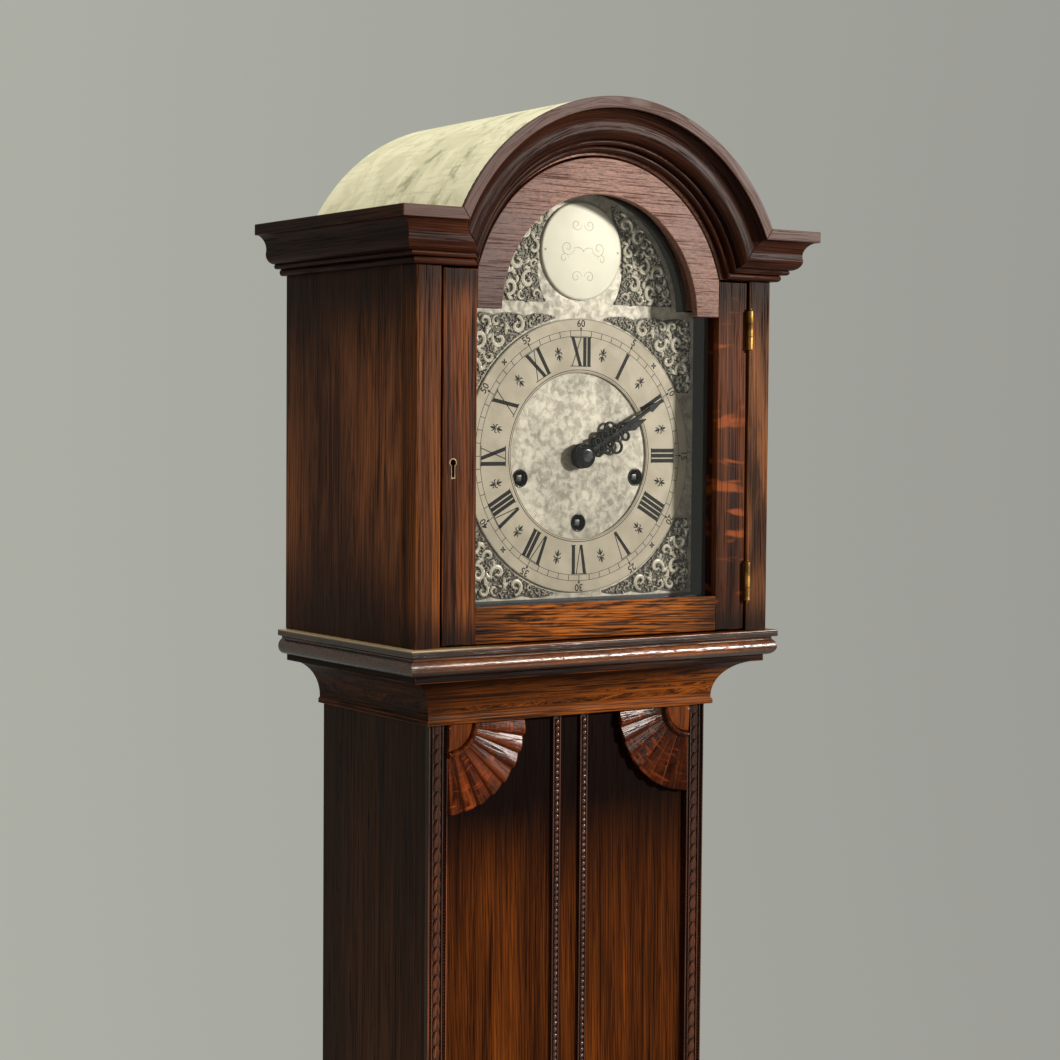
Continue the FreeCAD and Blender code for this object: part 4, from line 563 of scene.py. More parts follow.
# The beaded strips: two slim oak mouldings planted down the panel, each a row of turned beads
# between fillets, rubbed bright by polishing.
BEAD_STRIP, BEAD_PITCH, BEAD_LEAD, BEAD_HALF, BEAD_RISE = 0.006, 0.0042, 0.001, 0.0019, 0.0019
# Painted shade with grime: the ground between the beads is darker.
bead_oak = oak("bead_oak", (92, 50, 30), 0.7, rings=(200, 8), rough=0.14, polish=0.6,
               shade_and_soot=((1, -0.0398, -0.0412, 0.9),))


def bead_edge(u, v):
    """A bead nearly as tall as it is wide, standing off the ground."""
    width = math.sin(math.pi * (0.12 + 0.76 * v)) ** 0.55
    return width, math.sqrt(max(0.0, 1 - u * u)) * math.sin(math.pi * v) ** 0.6


bead = dict(half=BEAD_HALF, length=BEAD_PITCH * 0.97, rise=BEAD_RISE, rows=6, columns=6, edge=bead_edge)
planted("bead_strips", "beaded_strips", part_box("beaded_strips"), bead_oak, BEAD_STRIP, BEAD_RISE,
        ((0.0, BEAD_PITCH, BEAD_LEAD, bead),), ((0.0, 0.0009, 0.0011),), smooth=True)

# The fan carvings: a quarter rosette in each upper corner of the panel, cut from the solid with a
# smooth eye, a raised lip and petals that overlap as slats do, and polished more than the rest.
FAN_LOW, FAN_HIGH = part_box("fan_carvings")
FAN_RISE = FAN_HIGH.y - FAN_LOW.y
FAN_RADIUS, FAN_EYE, FAN_GROUND = 0.059, 0.020, 0.62
LIP_IN, LIP_OUT = FAN_EYE * 0.92, FAN_EYE * 1.12
PETALS, PETAL_STEPS, PETAL_CREST, PETAL_NOTCH = 8, 12, 10, 0.0003
EYE_RINGS = [0.007, 0.07, 0.13, 0.18, 0.22, 0.26, 0.285, 0.3, 0.312]
PETAL_RINGS = [0.312, 0.322, 0.33, 0.338, 0.346, 0.354, 0.362, 0.37, 0.378, 0.386, 0.4, 0.43, 0.46, 0.5, 0.54,
               0.58, 0.62, 0.66, 0.7, 0.74, 0.78, 0.82, 0.86, 0.9, 0.94, 0.97, 0.99, 1.0]
# Painted shade with grime: the low parts of the petals are darker, and the right-hand fan is darker overall.
fan_oak = oak("fan_oak", (82, 35, 11), 1.15, rings=(120, 40), fleck=(1.0, 60, 420), rough=0.14, polish=0.07,
              shade_and_soot=((1, -0.0402, -0.0430, 0.88), (0, 0.098, 0.02, 0.6)), twist=1.4, lines=(0.003, 0.2))
eye_oak = oak("eye_oak", (112, 54, 18), 0.9, rings=(150, 9), rough=0.24, polish=0.12)


def fan_height(radius, share):
    """How far the carving stands off the panel: eye, lip, then petals that each rise to one sharp edge."""
    if radius < LIP_IN:
        return FAN_GROUND + 0.26 * math.sqrt(max(0.0, 1 - (radius / LIP_IN) ** 2))
    if radius < LIP_OUT:
        return FAN_GROUND + 0.38 * math.sin(math.pi * (radius - LIP_IN) / (FAN_EYE * 0.2)) ** 0.8
    out = (radius - FAN_EYE) / (FAN_RADIUS - FAN_EYE)
    crest = PETAL_CREST / PETAL_STEPS
    slope = min(share / crest, (1 - share) / (1 - crest))
    bowed = 0.4 * slope + 0.6 * math.sin(math.pi / 2 * slope)
    return 0.55 + 0.41 * out - (0.05 + 0.3 * out) * (1 - bowed)


for name, wood, shares in (("fan_eyes", eye_oak, EYE_RINGS), ("fan_petals", fan_oak, PETAL_RINGS)):
    form = bmesh.new()
    grain = form.verts.layers.float_vector.new("grain")
    worn = form.verts.layers.float.new("worn")
    for side, edge in ((-1, FAN_LOW.x), (1, FAN_HIGH.x)):
        corner = Vector((edge, FAN_HIGH.y, FAN_HIGH.z))
        front, back = [], []
        for share_out in shares:
            for line, rise in ((front, FAN_RISE), (back, 0.0)):
                line.append([])
                for step in range(PETALS * PETAL_STEPS + 1):
                    petal, part = divmod(step, PETAL_STEPS)
                    turn = step / (PETALS * PETAL_STEPS) * math.pi / 2
                    notch = PETAL_NOTCH * (1 - math.sin(math.pi * part / PETAL_STEPS) ** 0.6)
                    radius = share_out * (FAN_RADIUS - notch)
                    tall = rise * fan_height(radius, part / PETAL_STEPS)
                    vert = form.verts.new(corner + Vector((
                        -side * radius * math.cos(turn), -tall, -radius * math.sin(turn))))
                    petal_way = Vector((turn * 0.04 + petal * 0.37, tall, radius + side))
                    vert[grain] = vert.co + Vector((0, 0, side)) if wood is eye_oak else petal_way
                    vert[worn] = 1.0 if part == PETAL_CREST and radius > FAN_EYE * 1.15 else 0.0
                    line[-1].append(vert)
        skin(form, front)
        skin(form, back)
        for end in (0, -1):
            skin(form, [[line[end] for line in front], [line[end] for line in back]])
            skin(form, [front[end], back[end]])
    settle(fair(built(name, form, wood)), "dark_oak", "fan_carvings")

# The mouldings under the hood: a tall cove and a bed moulding of fillet and torus, mitred round
# the front and sides and glued to the trunk. The hood stands on them, and its foot has rubbed them.
# Painted shade with grime: the cove is darker at its left end and under the bed moulding; the bed moulding is
# darker at both ends and underneath, and a band in its fillet is painted as the shade of a groove.
cove_oak = oak("cove_oak", (112, 57, 11), 1.3, rings=(70, 6), figure=0.75, twist=2.2, lines=(0.0026, 0.7),
               shade_and_soot=((0, -0.113, -0.085, 0.62), (2, 1.232, 1.214, 0.9)))
bed_oak = oak("bed_oak", (118, 62, 18), 1.1, rings=(90, 9), rough=0.2, polish=0.5,
              shade_and_soot=((0, -0.147, -0.09, 0.7), (0, 0.147, 0.1, 0.6), (2, 1.2368, 1.2395, 0.95)),
              groove_shade=((2, 1.2454, 1.2517),), bare=((2, 1.2508, 1.2518), (0, -0.06, -0.13)))
MOULDING_EASE = 0.0005
planed("cove_moulding", cove_oak, rounding=MOULDING_EASE, bent=mitred)
planed("bed_moulding", bed_oak, rounding=MOULDING_EASE, bent=mitred)

# The turn button: a small bar of oak on the back board, rounded by hand, that turns on one screw and
# keeps the rear door shut.
BUTTON_EASE = 0.0004
planed("turn_button", case_oak, rounding=BUTTON_EASE)


# The hood: oak sides and front stiles, arched boards front and back, and flat boards on the
# shoulders. It lifts off the trunk as one. Its sides and stiles are painted darker at the top and foot,
# painted shade under the cornice and above the mouldings, with some grime.
def parted(node, rounding, choices):
    """A piece whose boards differ: (name, wood, test of a board's middle) for each finish."""
    form = eased(node, rounding)
    grained(form, node)
    form.verts.index_update()
    found = [(board, sum((vert.co for vert in board), Vector()) / len(board)) for board in boards(form)]
    for name, wood, test in choices:
        keep = {vert.index for board, middle in found if test(middle) for vert in board}
        copy = form.copy()
        copy.verts.ensure_lookup_table()
        bmesh.ops.delete(copy, geom=[vert for vert in copy.verts if vert.index not in keep], context="VERTS")
        settle(fair(built(name, copy, wood)), "dark_oak", node)
    form.free()


hood_oak = oak("hood_oak", (108, 64, 38), 1.1, rings=(90, 9), figure=0.55, twist=1.3, lines=(0.0034, 0.45),
               shade_and_soot=((2, 1.258, 1.335, 0.85), (2, 1.482, 1.415, 0.9)))
stile_oak = oak("stile_oak", (112, 61, 22), 1.2, rings=(130, 3),
                shade_and_soot=((2, 1.255, 1.285, 0.88), (2, 1.49, 1.445, 0.88)))
far_stile_oak = oak("far_stile_oak", (84, 49, 24), 1.3, rings=(45, 6), figure=0.7, twist=1.4,
                    shade_and_soot=((2, 1.255, 1.285, 0.88), (2, 1.49, 1.435, 0.9)))
# Painted light and shade: the arched head is paler at its top and darker at its foot and left end, as the
# lamp from the right falls on it.
head_oak = oak("head_oak", (140, 101, 87), 0.85, rings=(800, 230), figure=0.65, polish=0.16, twist=1.2,
               lines=(0.0012, 0.3), shade_and_soot=((2, 1.455, 1.53, 0.55), (0, -0.105, -0.015, 0.62)))
planed("hood_side_panels", hood_oak)
parted("hood_front_stiles", 0.0007, (
    ("hood_left_stile", stile_oak, lambda middle: middle.x < 0),
    ("hood_right_stile", far_stile_oak, lambda middle: middle.x > 0)))
planed("hood_arch_boards", head_oak)
planed("hood_top_boards", case_oak)

# The barrel roof: thin boards bent over the arch and painted a pale stone green, brushed along the
# curve and gone blotchy and dirty near the cornice, which the front edge laps.
Z_ARCH = 1.464
ROOF_FOOT, ROOF_PARTS = math.radians(67), 64
ROOF_SECTION = ((-0.0938, 0.1357), (0.096, 0.1357), (0.096, 0.126), (-0.072, 0.126), (-0.072, 0.134),
                (-0.0938, 0.134))
finish = Finish("roof_paint")
place = finish.place()
blotch = finish.step(finish.noise(place, (30, 38, 30), 4, 0.62, 1.2), 0.4, 0.6)
brush = finish.noise(place, (340, 22, 340), 3, 0.6)
dirt = finish.step(finish.noise(place, (48, 60, 48), 4, 0.65), 0.5, 0.72)
colour = finish.mix(shade(206, 202, 166), shade(226, 221, 186), blotch)
colour = finish.mix(colour, shade(172, 178, 146), finish.step(brush, 0.5, 0.75) * 0.5)
colour = finish.mix(colour, shade(128, 128, 96), dirt * finish.step(finish.axis(1), -0.03, 0.05, 0.95, 0.25))
roof_paint = finish.close(Base_Color=colour, Roughness=0.5 + dirt * 0.2,
                          Normal=finish.bump(brush, 0.0003, 0.4))
form = bmesh.new()
rows = []
for part in range(ROOF_PARTS + 1):
    turn = ROOF_FOOT * (2 * part / ROOF_PARTS - 1)
    rows.append([form.verts.new((out * math.sin(turn), y, Z_ARCH + out * math.cos(turn)))
                 for y, out in ROOF_SECTION])
skin(form, rows, ring=True)
form.faces.new(rows[0])
form.faces.new(rows[-1])
settle(fair(built("roof_barrel_bent", form, roof_paint)), "roof_paint", "roof_barrel")

# The cornice: an ogee with beads and a square fillet, bent over the arch and mitred into the
# straight shoulders and returns. The fillet is bruised and dull, and cut down under the roof's lap.
CORNICE_TOP, CORNICE_UNDER_LAP, LAP_EDGE, LAP_BACK = 0.136, 0.1335, 0.1345, -0.08
# Painted shade with grime: the cornice is darker towards its left return.
cornice_oak = oak("cornice_oak", (62, 31, 18), 1.25, rings=(170, 7), rough=0.32, polish=0.05, twist=1.4,
                  shade_and_soot=((0, -0.142, -0.112, 0.3),), bare=((1, -0.0945, -0.0957),), rubbed_to=(96, 74, 68))


def arched(place):
    """Grain that follows the arch."""
    spot = Vector((place.x, place.z - Z_ARCH))
    return Vector((spot.length, -place.y, math.atan2(spot.x, spot.y) * 0.13))


form = eased("cornice_arch", MOULDING_EASE)
for vert in form.verts:
    spot = Vector((vert.co.x, vert.co.z - Z_ARCH))
    if spot.length > LAP_EDGE and vert.co.y > LAP_BACK:
        spot *= CORNICE_UNDER_LAP / CORNICE_TOP
        vert.co = (spot.x, vert.co.y, Z_ARCH + spot.y)
grained(form, "cornice_arch", arched)
settle(fair(built("cornice_arch_bent", form, cornice_oak)), "dark_oak", "cornice_arch")
planed("cornice_straights", cornice_oak, rounding=MOULDING_EASE, bent=mitred)

# The rear door: one plain deal board on two small hinges that closes the back of the hood. The
# pendulum is hung and set from there.
planed("rear_door", deal, "deal")

# The hood door: two stiles, a bottom rail and an arched head, mortised together and rebated for
# the glass. The bottom rail is wild-grained, and the hinged stile shows the oak's rays.
DOOR_MIDDLE, DOOR_EASE = 1.33, 0.0006
# Painted shade with grime: the stiles are darker at their foot and top, and the bottom rail at both ends; the
# arched head takes the hood head's painted light and shade.
door_stile_oak = oak("door_stile_oak", (112, 60, 23), 1.3, rings=(110, 3),
                     shade_and_soot=((2, 1.256, 1.28, 0.88), (2, 1.485, 1.46, 0.88)))
hinged_stile_oak = oak("hinged_stile_oak", (84, 43, 18), 1.2, rings=(110, 3), fleck=(0.9, 20, 78),
                       shade_and_soot=((2, 1.256, 1.28, 0.88), (2, 1.485, 1.44, 0.88)))
rail_oak = oak("rail_oak", (113, 60, 13), 1.35, rings=(230, 16), figure=0.8, twist=1.8, lines=(0.002, 1.0),
               shade_and_soot=((0, -0.098, -0.045, 0.7), (0, 0.098, 0.065, 0.6)))
parted("door_stiles", DOOR_EASE, (
    ("door_lock_stile", door_stile_oak, lambda middle: middle.x < 0),
    ("door_hinged_stile", hinged_stile_oak, lambda middle: middle.x > 0)))
parted("door_rails", DOOR_EASE, (
    ("door_bottom_rail", rail_oak, lambda middle: middle.z < DOOR_MIDDLE),
    ("door_arch_head", head_oak, lambda middle: middle.z > DOOR_MIDDLE)))

# The door's glass: one old pane, slightly uneven, cut to the arch and held in the rebate, so that
# it shows only in its reflections.
finish = Finish("old_glass")
waves = finish.noise(finish.place(), (9, 9, 14), 2)
gloss = finish.add("ShaderNodeBsdfGlossy", {}, {"Color": (1, 1, 1, 1), "Roughness": 0.02,
                                                "Normal": finish.bump(waves, 0.0015, 0.12)})
clear = finish.add("ShaderNodeBsdfTransparent", {}, {"Color": (0.985, 0.988, 0.985, 1)})
edge_on = finish.add("ShaderNodeFresnel", {}, {"IOR": 1.45})
finish.add("ShaderNodeOutputMaterial", {}, {
    0: finish.add("ShaderNodeMixShader", {}, {0: edge_on * 0.45, 1: clear, 2: gloss})})


def dressed(finish, *names):
    """Gives solids that keep their own shape their finish."""
    for name in names:
        mesh = nodes[name].data
        mesh.materials.clear()
        mesh.materials.append(finish)


dressed(finish.material, "door_glass")


# The hinges and the lock: small brass butts let into the doors and their frames and screwed, a
# steel lock case with its keyhole liner, and a brass bolt that slides behind the stile.
def metal(name, bright, dull, rough, metallic=1.0, scale=400.0, pit=0.00005, polish=0.5):
    """A metal gone uneven with age: bright where it is rubbed, dull in patches, finely scratched."""
    finish = Finish(name)
    place = finish.place()
    patch = finish.step(finish.noise(place, 90, 4, 0.6), 0.35, 0.65)
    scratch = finish.noise(place, scale, 3, 0.6)
    return finish.close(
        Base_Color=finish.mix(shade(*dull), shade(*bright), patch),
        Metallic=metallic,
        Roughness=rough + 0.16 * (1 - patch) + scratch * 0.12,
        Specular_IOR_Level=polish,
        Normal=finish.bump(scratch, pit, 0.4),
    )


def rounded(node, finish, slot, rounding):
    """A metal piece made over its solid with its edges broken."""
    settle(fair(built(node + "_rounded", eased(node, rounding), finish)), slot, node)


brass = metal("aged_brass", (168, 124, 64), (100, 70, 38), 0.36)
dull_steel = metal("dull_steel", (128, 108, 84), (70, 58, 46), 0.45)
FITTING_EASE, BOLT_EASE = 0.00015, 0.0002
for node in ("door_hinge_leaves", "frame_hinge_leaves", "rear_hinge_leaves"):
    rounded(node, brass, "brass", FITTING_EASE)
rounded("door_lock", dull_steel, "steel", FITTING_EASE)
rounded("lock_bolt", brass, "brass", BOLT_EASE)

# The dial: a black mask board, a silvered break-arch plate frosted in the middle, and a raised
# chapter ring engraved and filled with black wax. The plate is held by four feet on the movement.
PLATE_FOOT, FOOT_EDGE = 1.2778, 0.0002
FACE, WAX = -0.048, 0.00006
TRACK_IN, TRACK_OUT, TICK_HALF = 0.0783, 0.0823, 0.0002
ENGRAVED_RINGS = ((TRACK_IN, 0.0003), (0.0821, 0.0003), (0.0562, 0.00045), (0.0551, 0.00025),
                  (0.0894, 0.0002))
FLEUR_OUT, CROSS_OUT = 0.0685, 0.0852
FIGURE_OUT, FIGURE_SIZE, FIGURE_SWELL = 0.0846, 0.0066, 0.00008
NUMERAL_LOW, NUMERAL_HIGH = 0.0586, 0.0779
THICK, THIN, SPACE, SERIF = 0.0026, 0.0006, 0.0008, 0.0005
WIDTHS = {"I": THICK, "V": 0.0084, "X": 0.0090}
finish = Finish("mask_black")
rub = finish.noise(finish.place(), 60, 3)
tint = finish.mix(shade(24, 23, 24), shade(38, 36, 35), rub)
mask_black = finish.close(Base_Color=tint, Roughness=0.6 + rub * 0.2, Normal=finish.bump(rub, 0.0003, 0.3))
dressed(mask_black, "dial_mask")


def silvered(name, pale, grey, frost, scale, rough, metallic, foot=None):
    """Silvering under lacquer: cloudy, greyed in spots, more or less frosted, blackened below a foot line."""
    finish = Finish(name)
    place = finish.place()
    cloud = finish.step(finish.noise(place, scale, 4, 0.62, 0.5), 0.36, 0.66)
    drift = finish.step(finish.noise(place, 26, 2), 0.4, 0.6)
    speck = finish.step(finish.noise(place, 1100, 2), 0.62, 0.72)
    grain = finish.noise(place, 1700, 2)
    colour = finish.mix(shade(*pale), shade(*grey), (cloud * 0.55 + drift * 0.45) * frost)
    colour = finish.mix(colour, shade(*grey), speck * 0.35)
    if foot:
        colour = finish.mix(shade(26, 26, 27), colour, finish.step(finish.axis(2), foot - FOOT_EDGE, foot))
    return finish.close(
        Base_Color=colour,
        Metallic=metallic,
        Roughness=rough + cloud * 0.14 * frost,
        Normal=finish.bump(cloud * frost + grain * 0.35, 0.00012, 0.5),
    )


# Painted shade: the chapter ring's silver is darker than the plate's, standing in for the light that falls
# off down the dial.
ring_silver = silvered("ring_silver", (174, 163, 141), (144, 133, 114), 0.6, 45, 0.52, 0.05)
plate_silver = silvered("plate_silver", (198, 190, 172), (116, 109, 95), 0.9, 190, 0.46, 0.08, PLATE_FOOT)
dressed(plate_silver, "dial_plate")
rounded("chapter_ring", ring_silver, "dial_silver", 0.0003)
dressed(brass, "dial_feet")

wax = Finish("black_wax")
lump = wax.noise(wax.place(), 900, 2)
black_wax = wax.close(Base_Color=wax.mix(shade(20, 19, 20), shade(34, 32, 30), lump),
                      Roughness=0.45 + lump * 0.2, Specular_IOR_Level=0.1)


def prism(form, outline, face=FACE, depth=WAX):
    """A thin flat form on the dial, from an outline of (x, z)."""
    top, low = ([form.verts.new((x, y, z)) for x, z in outline] for y in (face - depth, face + depth))
    form.faces.new(top)
    form.faces.new(low[::-1])
    skin(form, [top, low], ring=True)


def circle(form, middle, reach, y, parts):
    """A ring of vertices about a middle (x, z), facing the front."""
    turns = [index * 2 * math.pi / parts for index in range(parts)]
    return [form.verts.new((middle[0] + reach * math.sin(turn), y, middle[1] + reach * math.cos(turn)))
            for turn in turns]


def hoop(form, radius, width, middle, face=FACE, depth=WAX, parts=180):
    """An engraved circle."""
    section = ((radius, -depth), (radius + width, -depth), (radius + width, depth), (radius, depth))
    skin(form, [circle(form, middle, reach, face + y, parts) for reach, y in section], ring=True, loop=True)


def turned(outline, turn, middle=(DIAL.x, DIAL.z)):
    """An outline of (across, out) at twelve o'clock, turned about a middle."""
    return [(middle[0] + out * math.sin(turn) + across * math.cos(turn),
             middle[1] + out * math.cos(turn) - across * math.sin(turn)) for across, out in outline]


def sideways_of(path):
    """Each point of a path with the direction square to the path there."""
    for index, (x, z) in enumerate(path):
        one = Vector(path[max(index - 1, 0)])
        two = Vector(path[min(index + 1, len(path) - 1)])
        along = (two - one).normalized()
        yield x, z, -along.y, along.x


def ribbon(path, widths):
    """The outline of a line of changing width along a path."""
    left, right = ([(x + side * dx * wide, z + side * dz * wide)
                    for (x, z, dx, dz), wide in zip(sideways_of(path), widths)] for side in (1, -1))
    return left + right[::-1]


def engraved_round(name, outlines, count, lead=0.0):
    """One engraved mark, repeated evenly round the dial."""
    form = bmesh.new()
    for outline in outlines:
        prism(form, outline)
    return repeated(name, form, black_wax, count, (DIAL.x, 0.0, DIAL.z), lead=lead, turn=2 * math.pi / count)


tick = [(-TICK_HALF, TRACK_IN), (TICK_HALF, TRACK_IN), (TICK_HALF, TRACK_OUT), (-TICK_HALF, TRACK_OUT)]
pip = [(0, 0.0819), (0.0008, 0.0832), (0, 0.0845), (-0.0008, 0.0832)]
fleur_petal = [(0.0, 0.0), (0.0007, 0.0016), (0.0008, 0.0030), (0.0, 0.0052), (-0.0008, 0.0030),
               (-0.0007, 0.0016)]
tendril = [(0.0003, 0.0), (0.0014, 0.0007), (0.0023, 0.0005), (0.0027, -0.0003), (0.0023, -0.0009)]
shoot = [(0.0003, 0.0008), (0.0015, 0.0021), (0.0022, 0.0034)]
fleur = []
for sign in (-1, 1):
    fleur.append([(x, FLEUR_OUT + sign * z) for x, z in fleur_petal])
    curl = ribbon([(x, FLEUR_OUT + z) for x, z in tendril], [0.0002, 0.00035, 0.0004, 0.0003, 0.0002])
    fleur.append([(sign * x, z) for x, z in curl])
    curl = ribbon([(x, FLEUR_OUT + sign * z) for x, z in shoot], [0.0002, 0.0004, 0.0002])
    fleur += [[(side * x, z) for x, z in curl] for side in (-1, 1)]
cross_petal = [(0.0, 0.0), (0.0006, 0.0009), (0.0005, 0.0018), (0.0, 0.0022), (-0.0005, 0.0018),
               (-0.0006, 0.0009)]
cross = [turned(cross_petal, (step + 0.5) * math.pi / 2, (0.0, CROSS_OUT)) for step in range(4)]
form = joined([
    engraved_round("minute_ticks", [tick], 60),
    engraved_round("five_minute_pips", [pip], 12),
    engraved_round("half_hour_fleurs", fleur, 12, math.radians(15)),
    engraved_round("quarter_crosses", cross, 4, math.radians(45))])
for radius, width in ENGRAVED_RINGS:
    hoop(form, radius, width, (DIAL.x, DIAL.z))


def numeral_strokes(letter, start):
    """The outlines of one letter whose left edge is at start."""
    low, high, wide = NUMERAL_LOW, NUMERAL_HIGH, WIDTHS[letter]
    end = start + wide
    if letter == "I":
        yield [(start, low), (end, low), (end, high), (start, high)]
    elif letter == "V":
        foot = start + wide * 0.56
        yield [(start, high), (start + THICK, high), (foot + THIN, low), (foot - 0.0014, low)]
        yield [(end - THIN, high), (end, high), (foot + THIN, low), (foot, low)]
    else:
        yield [(start, high), (start + THICK, high), (end, low), (end - THICK, low)]
        yield [(end - 2 * THIN, high), (end - THIN, high), (start + 2 * THIN, low), (start + THIN, low)]
    for level in (high - SERIF,) if letter == "V" else (low, high - SERIF):
        yield [(start - SERIF, level), (end + SERIF, level), (end + SERIF, level + SERIF),
               (start - SERIF, level + SERIF)]


for hour, letters in enumerate(("XII", "I", "II", "III", "IIII", "V", "VI", "VII", "VIII", "IX", "X", "XI")):
    start = -(sum(WIDTHS[letter] for letter in letters) + SPACE * (len(letters) - 1)) / 2
    for letter in letters:
        for outline in numeral_strokes(letter, start):
            prism(form, turned(outline, math.radians(hour * 30)))
        start += WIDTHS[letter] + SPACE
for minute in range(5, 61, 5):
    words = bpy.data.curves.new("minute_figure", "FONT")
    words.body = str(minute)
    words.size = FIGURE_SIZE
    words.extrude = WAX
    words.offset = FIGURE_SWELL
    words.align_x = "CENTER"
    words.resolution_u = 3
    holder = placed("minute_figure", words)
    mesh = bpy.data.meshes.new_from_object(holder.evaluated_get(bpy.context.evaluated_depsgraph_get()))
    for vert in mesh.vertices:
        x, z = turned([(vert.co.x, FIGURE_OUT + vert.co.y)], math.radians(minute * 6))[0]
        vert.co = (x, FACE - vert.co.z, z)
    form.from_mesh(mesh)
    bpy.data.objects.remove(holder)
settle(built("dial_engraving", form, black_wax), "black_board", body="case")

# The boss in the arch: a domed silvered disc, pinned to the plate at both sides, with plain
# scrolled flourishes lightly engraved above, below and across its middle.
BOSS, BOSS_RADIUS, BOSS_EDGE, BOSS_PIN = Vector((0.0, 1.505)), 0.032, 0.0015, 0.0290
BOSS_RINGS, BOSS_PARTS, LINE_DEPTH = 24, 96, 0.00005
# Painted light: the boss's silver is paler than the plate's, for the strong light on the arch; its lighter
# frost is its own.
boss_silver = silvered("boss_silver", (212, 208, 190), (198, 192, 173), 0.3, 40, 0.5, 0.07)
boss_low, boss_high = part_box("arch_boss")


def on_boss(x, z):
    """The front of the domed disc at a point."""
    out = math.hypot(x, z) / BOSS_RADIUS
    return boss_low.y + (boss_high.y - boss_low.y - BOSS_EDGE) * min(1.0, out) ** 2


form = bmesh.new()
rings = []
for step in range(BOSS_RINGS + 1):
    reach = BOSS_RADIUS * max(step, 0.1) / BOSS_RINGS
    rings.append(circle(form, BOSS, reach, on_boss(reach, 0), BOSS_PARTS))
rings.append(circle(form, BOSS, BOSS_RADIUS, boss_high.y, BOSS_PARTS))
skin(form, rings, ring=True)
form.faces.new(rings[0])
form.faces.new(rings[-1])
for face in form.faces:
    face.smooth = len(face.verts) == 4 and abs(face.calc_center_median().y - boss_high.y) > BOSS_EDGE * 0.6
settle(built("boss_disc", form, boss_silver), "dial_silver", "arch_boss")


def flourish(x, z, size, start, turns, way, count=26):
    """A spiral path that winds in to its middle."""
    path = []
    for index in range(count + 1):
        share = index / count
        turn = start + way * turns * 2 * math.pi * share
        reach = size * (1 - 0.86 * share)
        path.append((x + reach * math.cos(turn), z + reach * math.sin(turn)))
    return path


engraved = Finish("engraved_line")
fade = engraved.noise(engraved.place(), 500, 2)
line_grey = engraved.close(Base_Color=engraved.mix(shade(128, 122, 106), shade(164, 157, 138), fade),
                           Roughness=0.5 + fade * 0.2, Metallic=0.2)
form = bmesh.new()
lines = []
for way in (-1, 1):
    outward = math.pi / 2 + way * math.pi / 2
    lines += [
        flourish(way * 0.0052, 0.0170, 0.0042, 2 * math.pi - outward, 1.3, way),
        flourish(way * 0.0052, -0.0170, 0.0042, outward, 1.3, -way),
        flourish(way * 0.0125, 0.0018, 0.0056, outward, 1.4, way),
        flourish(way * 0.0150, -0.0052, 0.0034, outward, 1.2, -way),
        [(way * x, z) for x, z in ((0.0, 0.0), (0.002, 0.0016), (0.0045, 0.0022), (0.0069, 0.0018))]]
for path in lines:
    widths = [0.00007 + 0.00011 * math.sin(math.pi * index / (len(path) - 1)) for index in range(len(path))]
    for one in range(len(path) - 1):
        stroke = path[one:one + 2]
        outline = [(BOSS.x + x, BOSS.y + z) for x, z in ribbon(stroke, widths[one:one + 2])]
        prism(form, outline, min(on_boss(*spot) for spot in stroke), LINE_DEPTH)
hoop(form, 0.0001, 0.0004, BOSS, on_boss(0, 0), 0.00006, 12)
for sign in (-1, 1):
    hoop(form, 0.0002, 0.0006, (BOSS.x + sign * BOSS_PIN, BOSS.y), on_boss(BOSS_PIN, 0), 0.0001, 16)
settle(built("boss_engraving", form, line_grey), "black_board", body="case")

# The spandrels: cast scrollwork in the four corners and on both sides of the boss, silvered and
# pinned flat on the plate, bright on the scrolls and black with old polish in the hollows.
SPAN_LOW, SPAN_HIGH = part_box("dial_spandrels")
SPAN_BACK, SPAN_BASE = 0.0003, 0.0006
SCROLL_SIZES, SCROLL_TRIES = (0.0066, 0.0052, 0.0041, 0.0032, 0.0024, 0.0017), 900
LEAF_TRIES, LEAF_GAP, LARGE_SCROLL = 2600, 0.0013, 0.003
ROUND_BACK = ((1, 0), (0.65, 0.75), (0, 1), (-0.65, 0.75), (-1, 0))
finish = Finish("cast_spandrel")
tall = finish.step(finish.axis(1), SPAN_HIGH.y - 0.0007, SPAN_LOW.y - 0.0002)
age = finish.noise(finish.place(), 420, 3)
colour = finish.mix(shade(58, 53, 43), shade(234, 226, 208), tall * finish.step(age, 0.2, 0.6, 0.7, 1.0))
cast_spandrel = finish.close(Base_Color=colour, Metallic=0.4, Roughness=0.46 - tall * 0.2,
                             Normal=finish.bump(age, 0.0002, 0.4))


def ridge(form, path, widths, rise):
    """A half-round raised line of changing width along a path of (x, z)."""
    sections = []
    base = SPAN_HIGH.y - SPAN_BASE
    for (x, z, dx, dz), wide in zip(sideways_of(path), widths):
        tall = min(rise, wide * 1.5)
        sections.append([form.verts.new((x + dx * wide * u, base - tall * v, z + dz * wide * u))
                         for u, v in ROUND_BACK])
    skin(form, sections, ring=True)
    form.faces.new(sections[0])
    form.faces.new(sections[-1])


def inside(outline, x, z):
    """Whether a point is inside a closed outline."""
    found = False
    for (ax, az), (bx, bz) in zip(outline, outline[1:] + outline[:1]):
        if (az > z) != (bz > z) and x < ax + (z - az) / (bz - az) * (bx - ax):
            found = not found
    return found


def rim(board):
    """The front outline of one flat solid, in order."""
    front = min(vert.co.y for vert in board)
    edges = [edge for vert in board for edge in vert.link_edges
             if all(abs(end.co.y - front) < 1e-6 for end in edge.verts)
             and any(abs(face.normal.y) < 0.5 for face in edge.link_faces)]
    following = {}
    for edge in dict.fromkeys(edges):
        one, two = edge.verts
        following.setdefault(one, []).append(two)
        following.setdefault(two, []).append(one)
    path = [next(iter(following))]
    while len(path) < len(following):
        onward = [vert for vert in following[path[-1]] if vert not in path[-2:]]
        path.append(onward[0])
    return [(vert.co.x, vert.co.z) for vert in path]


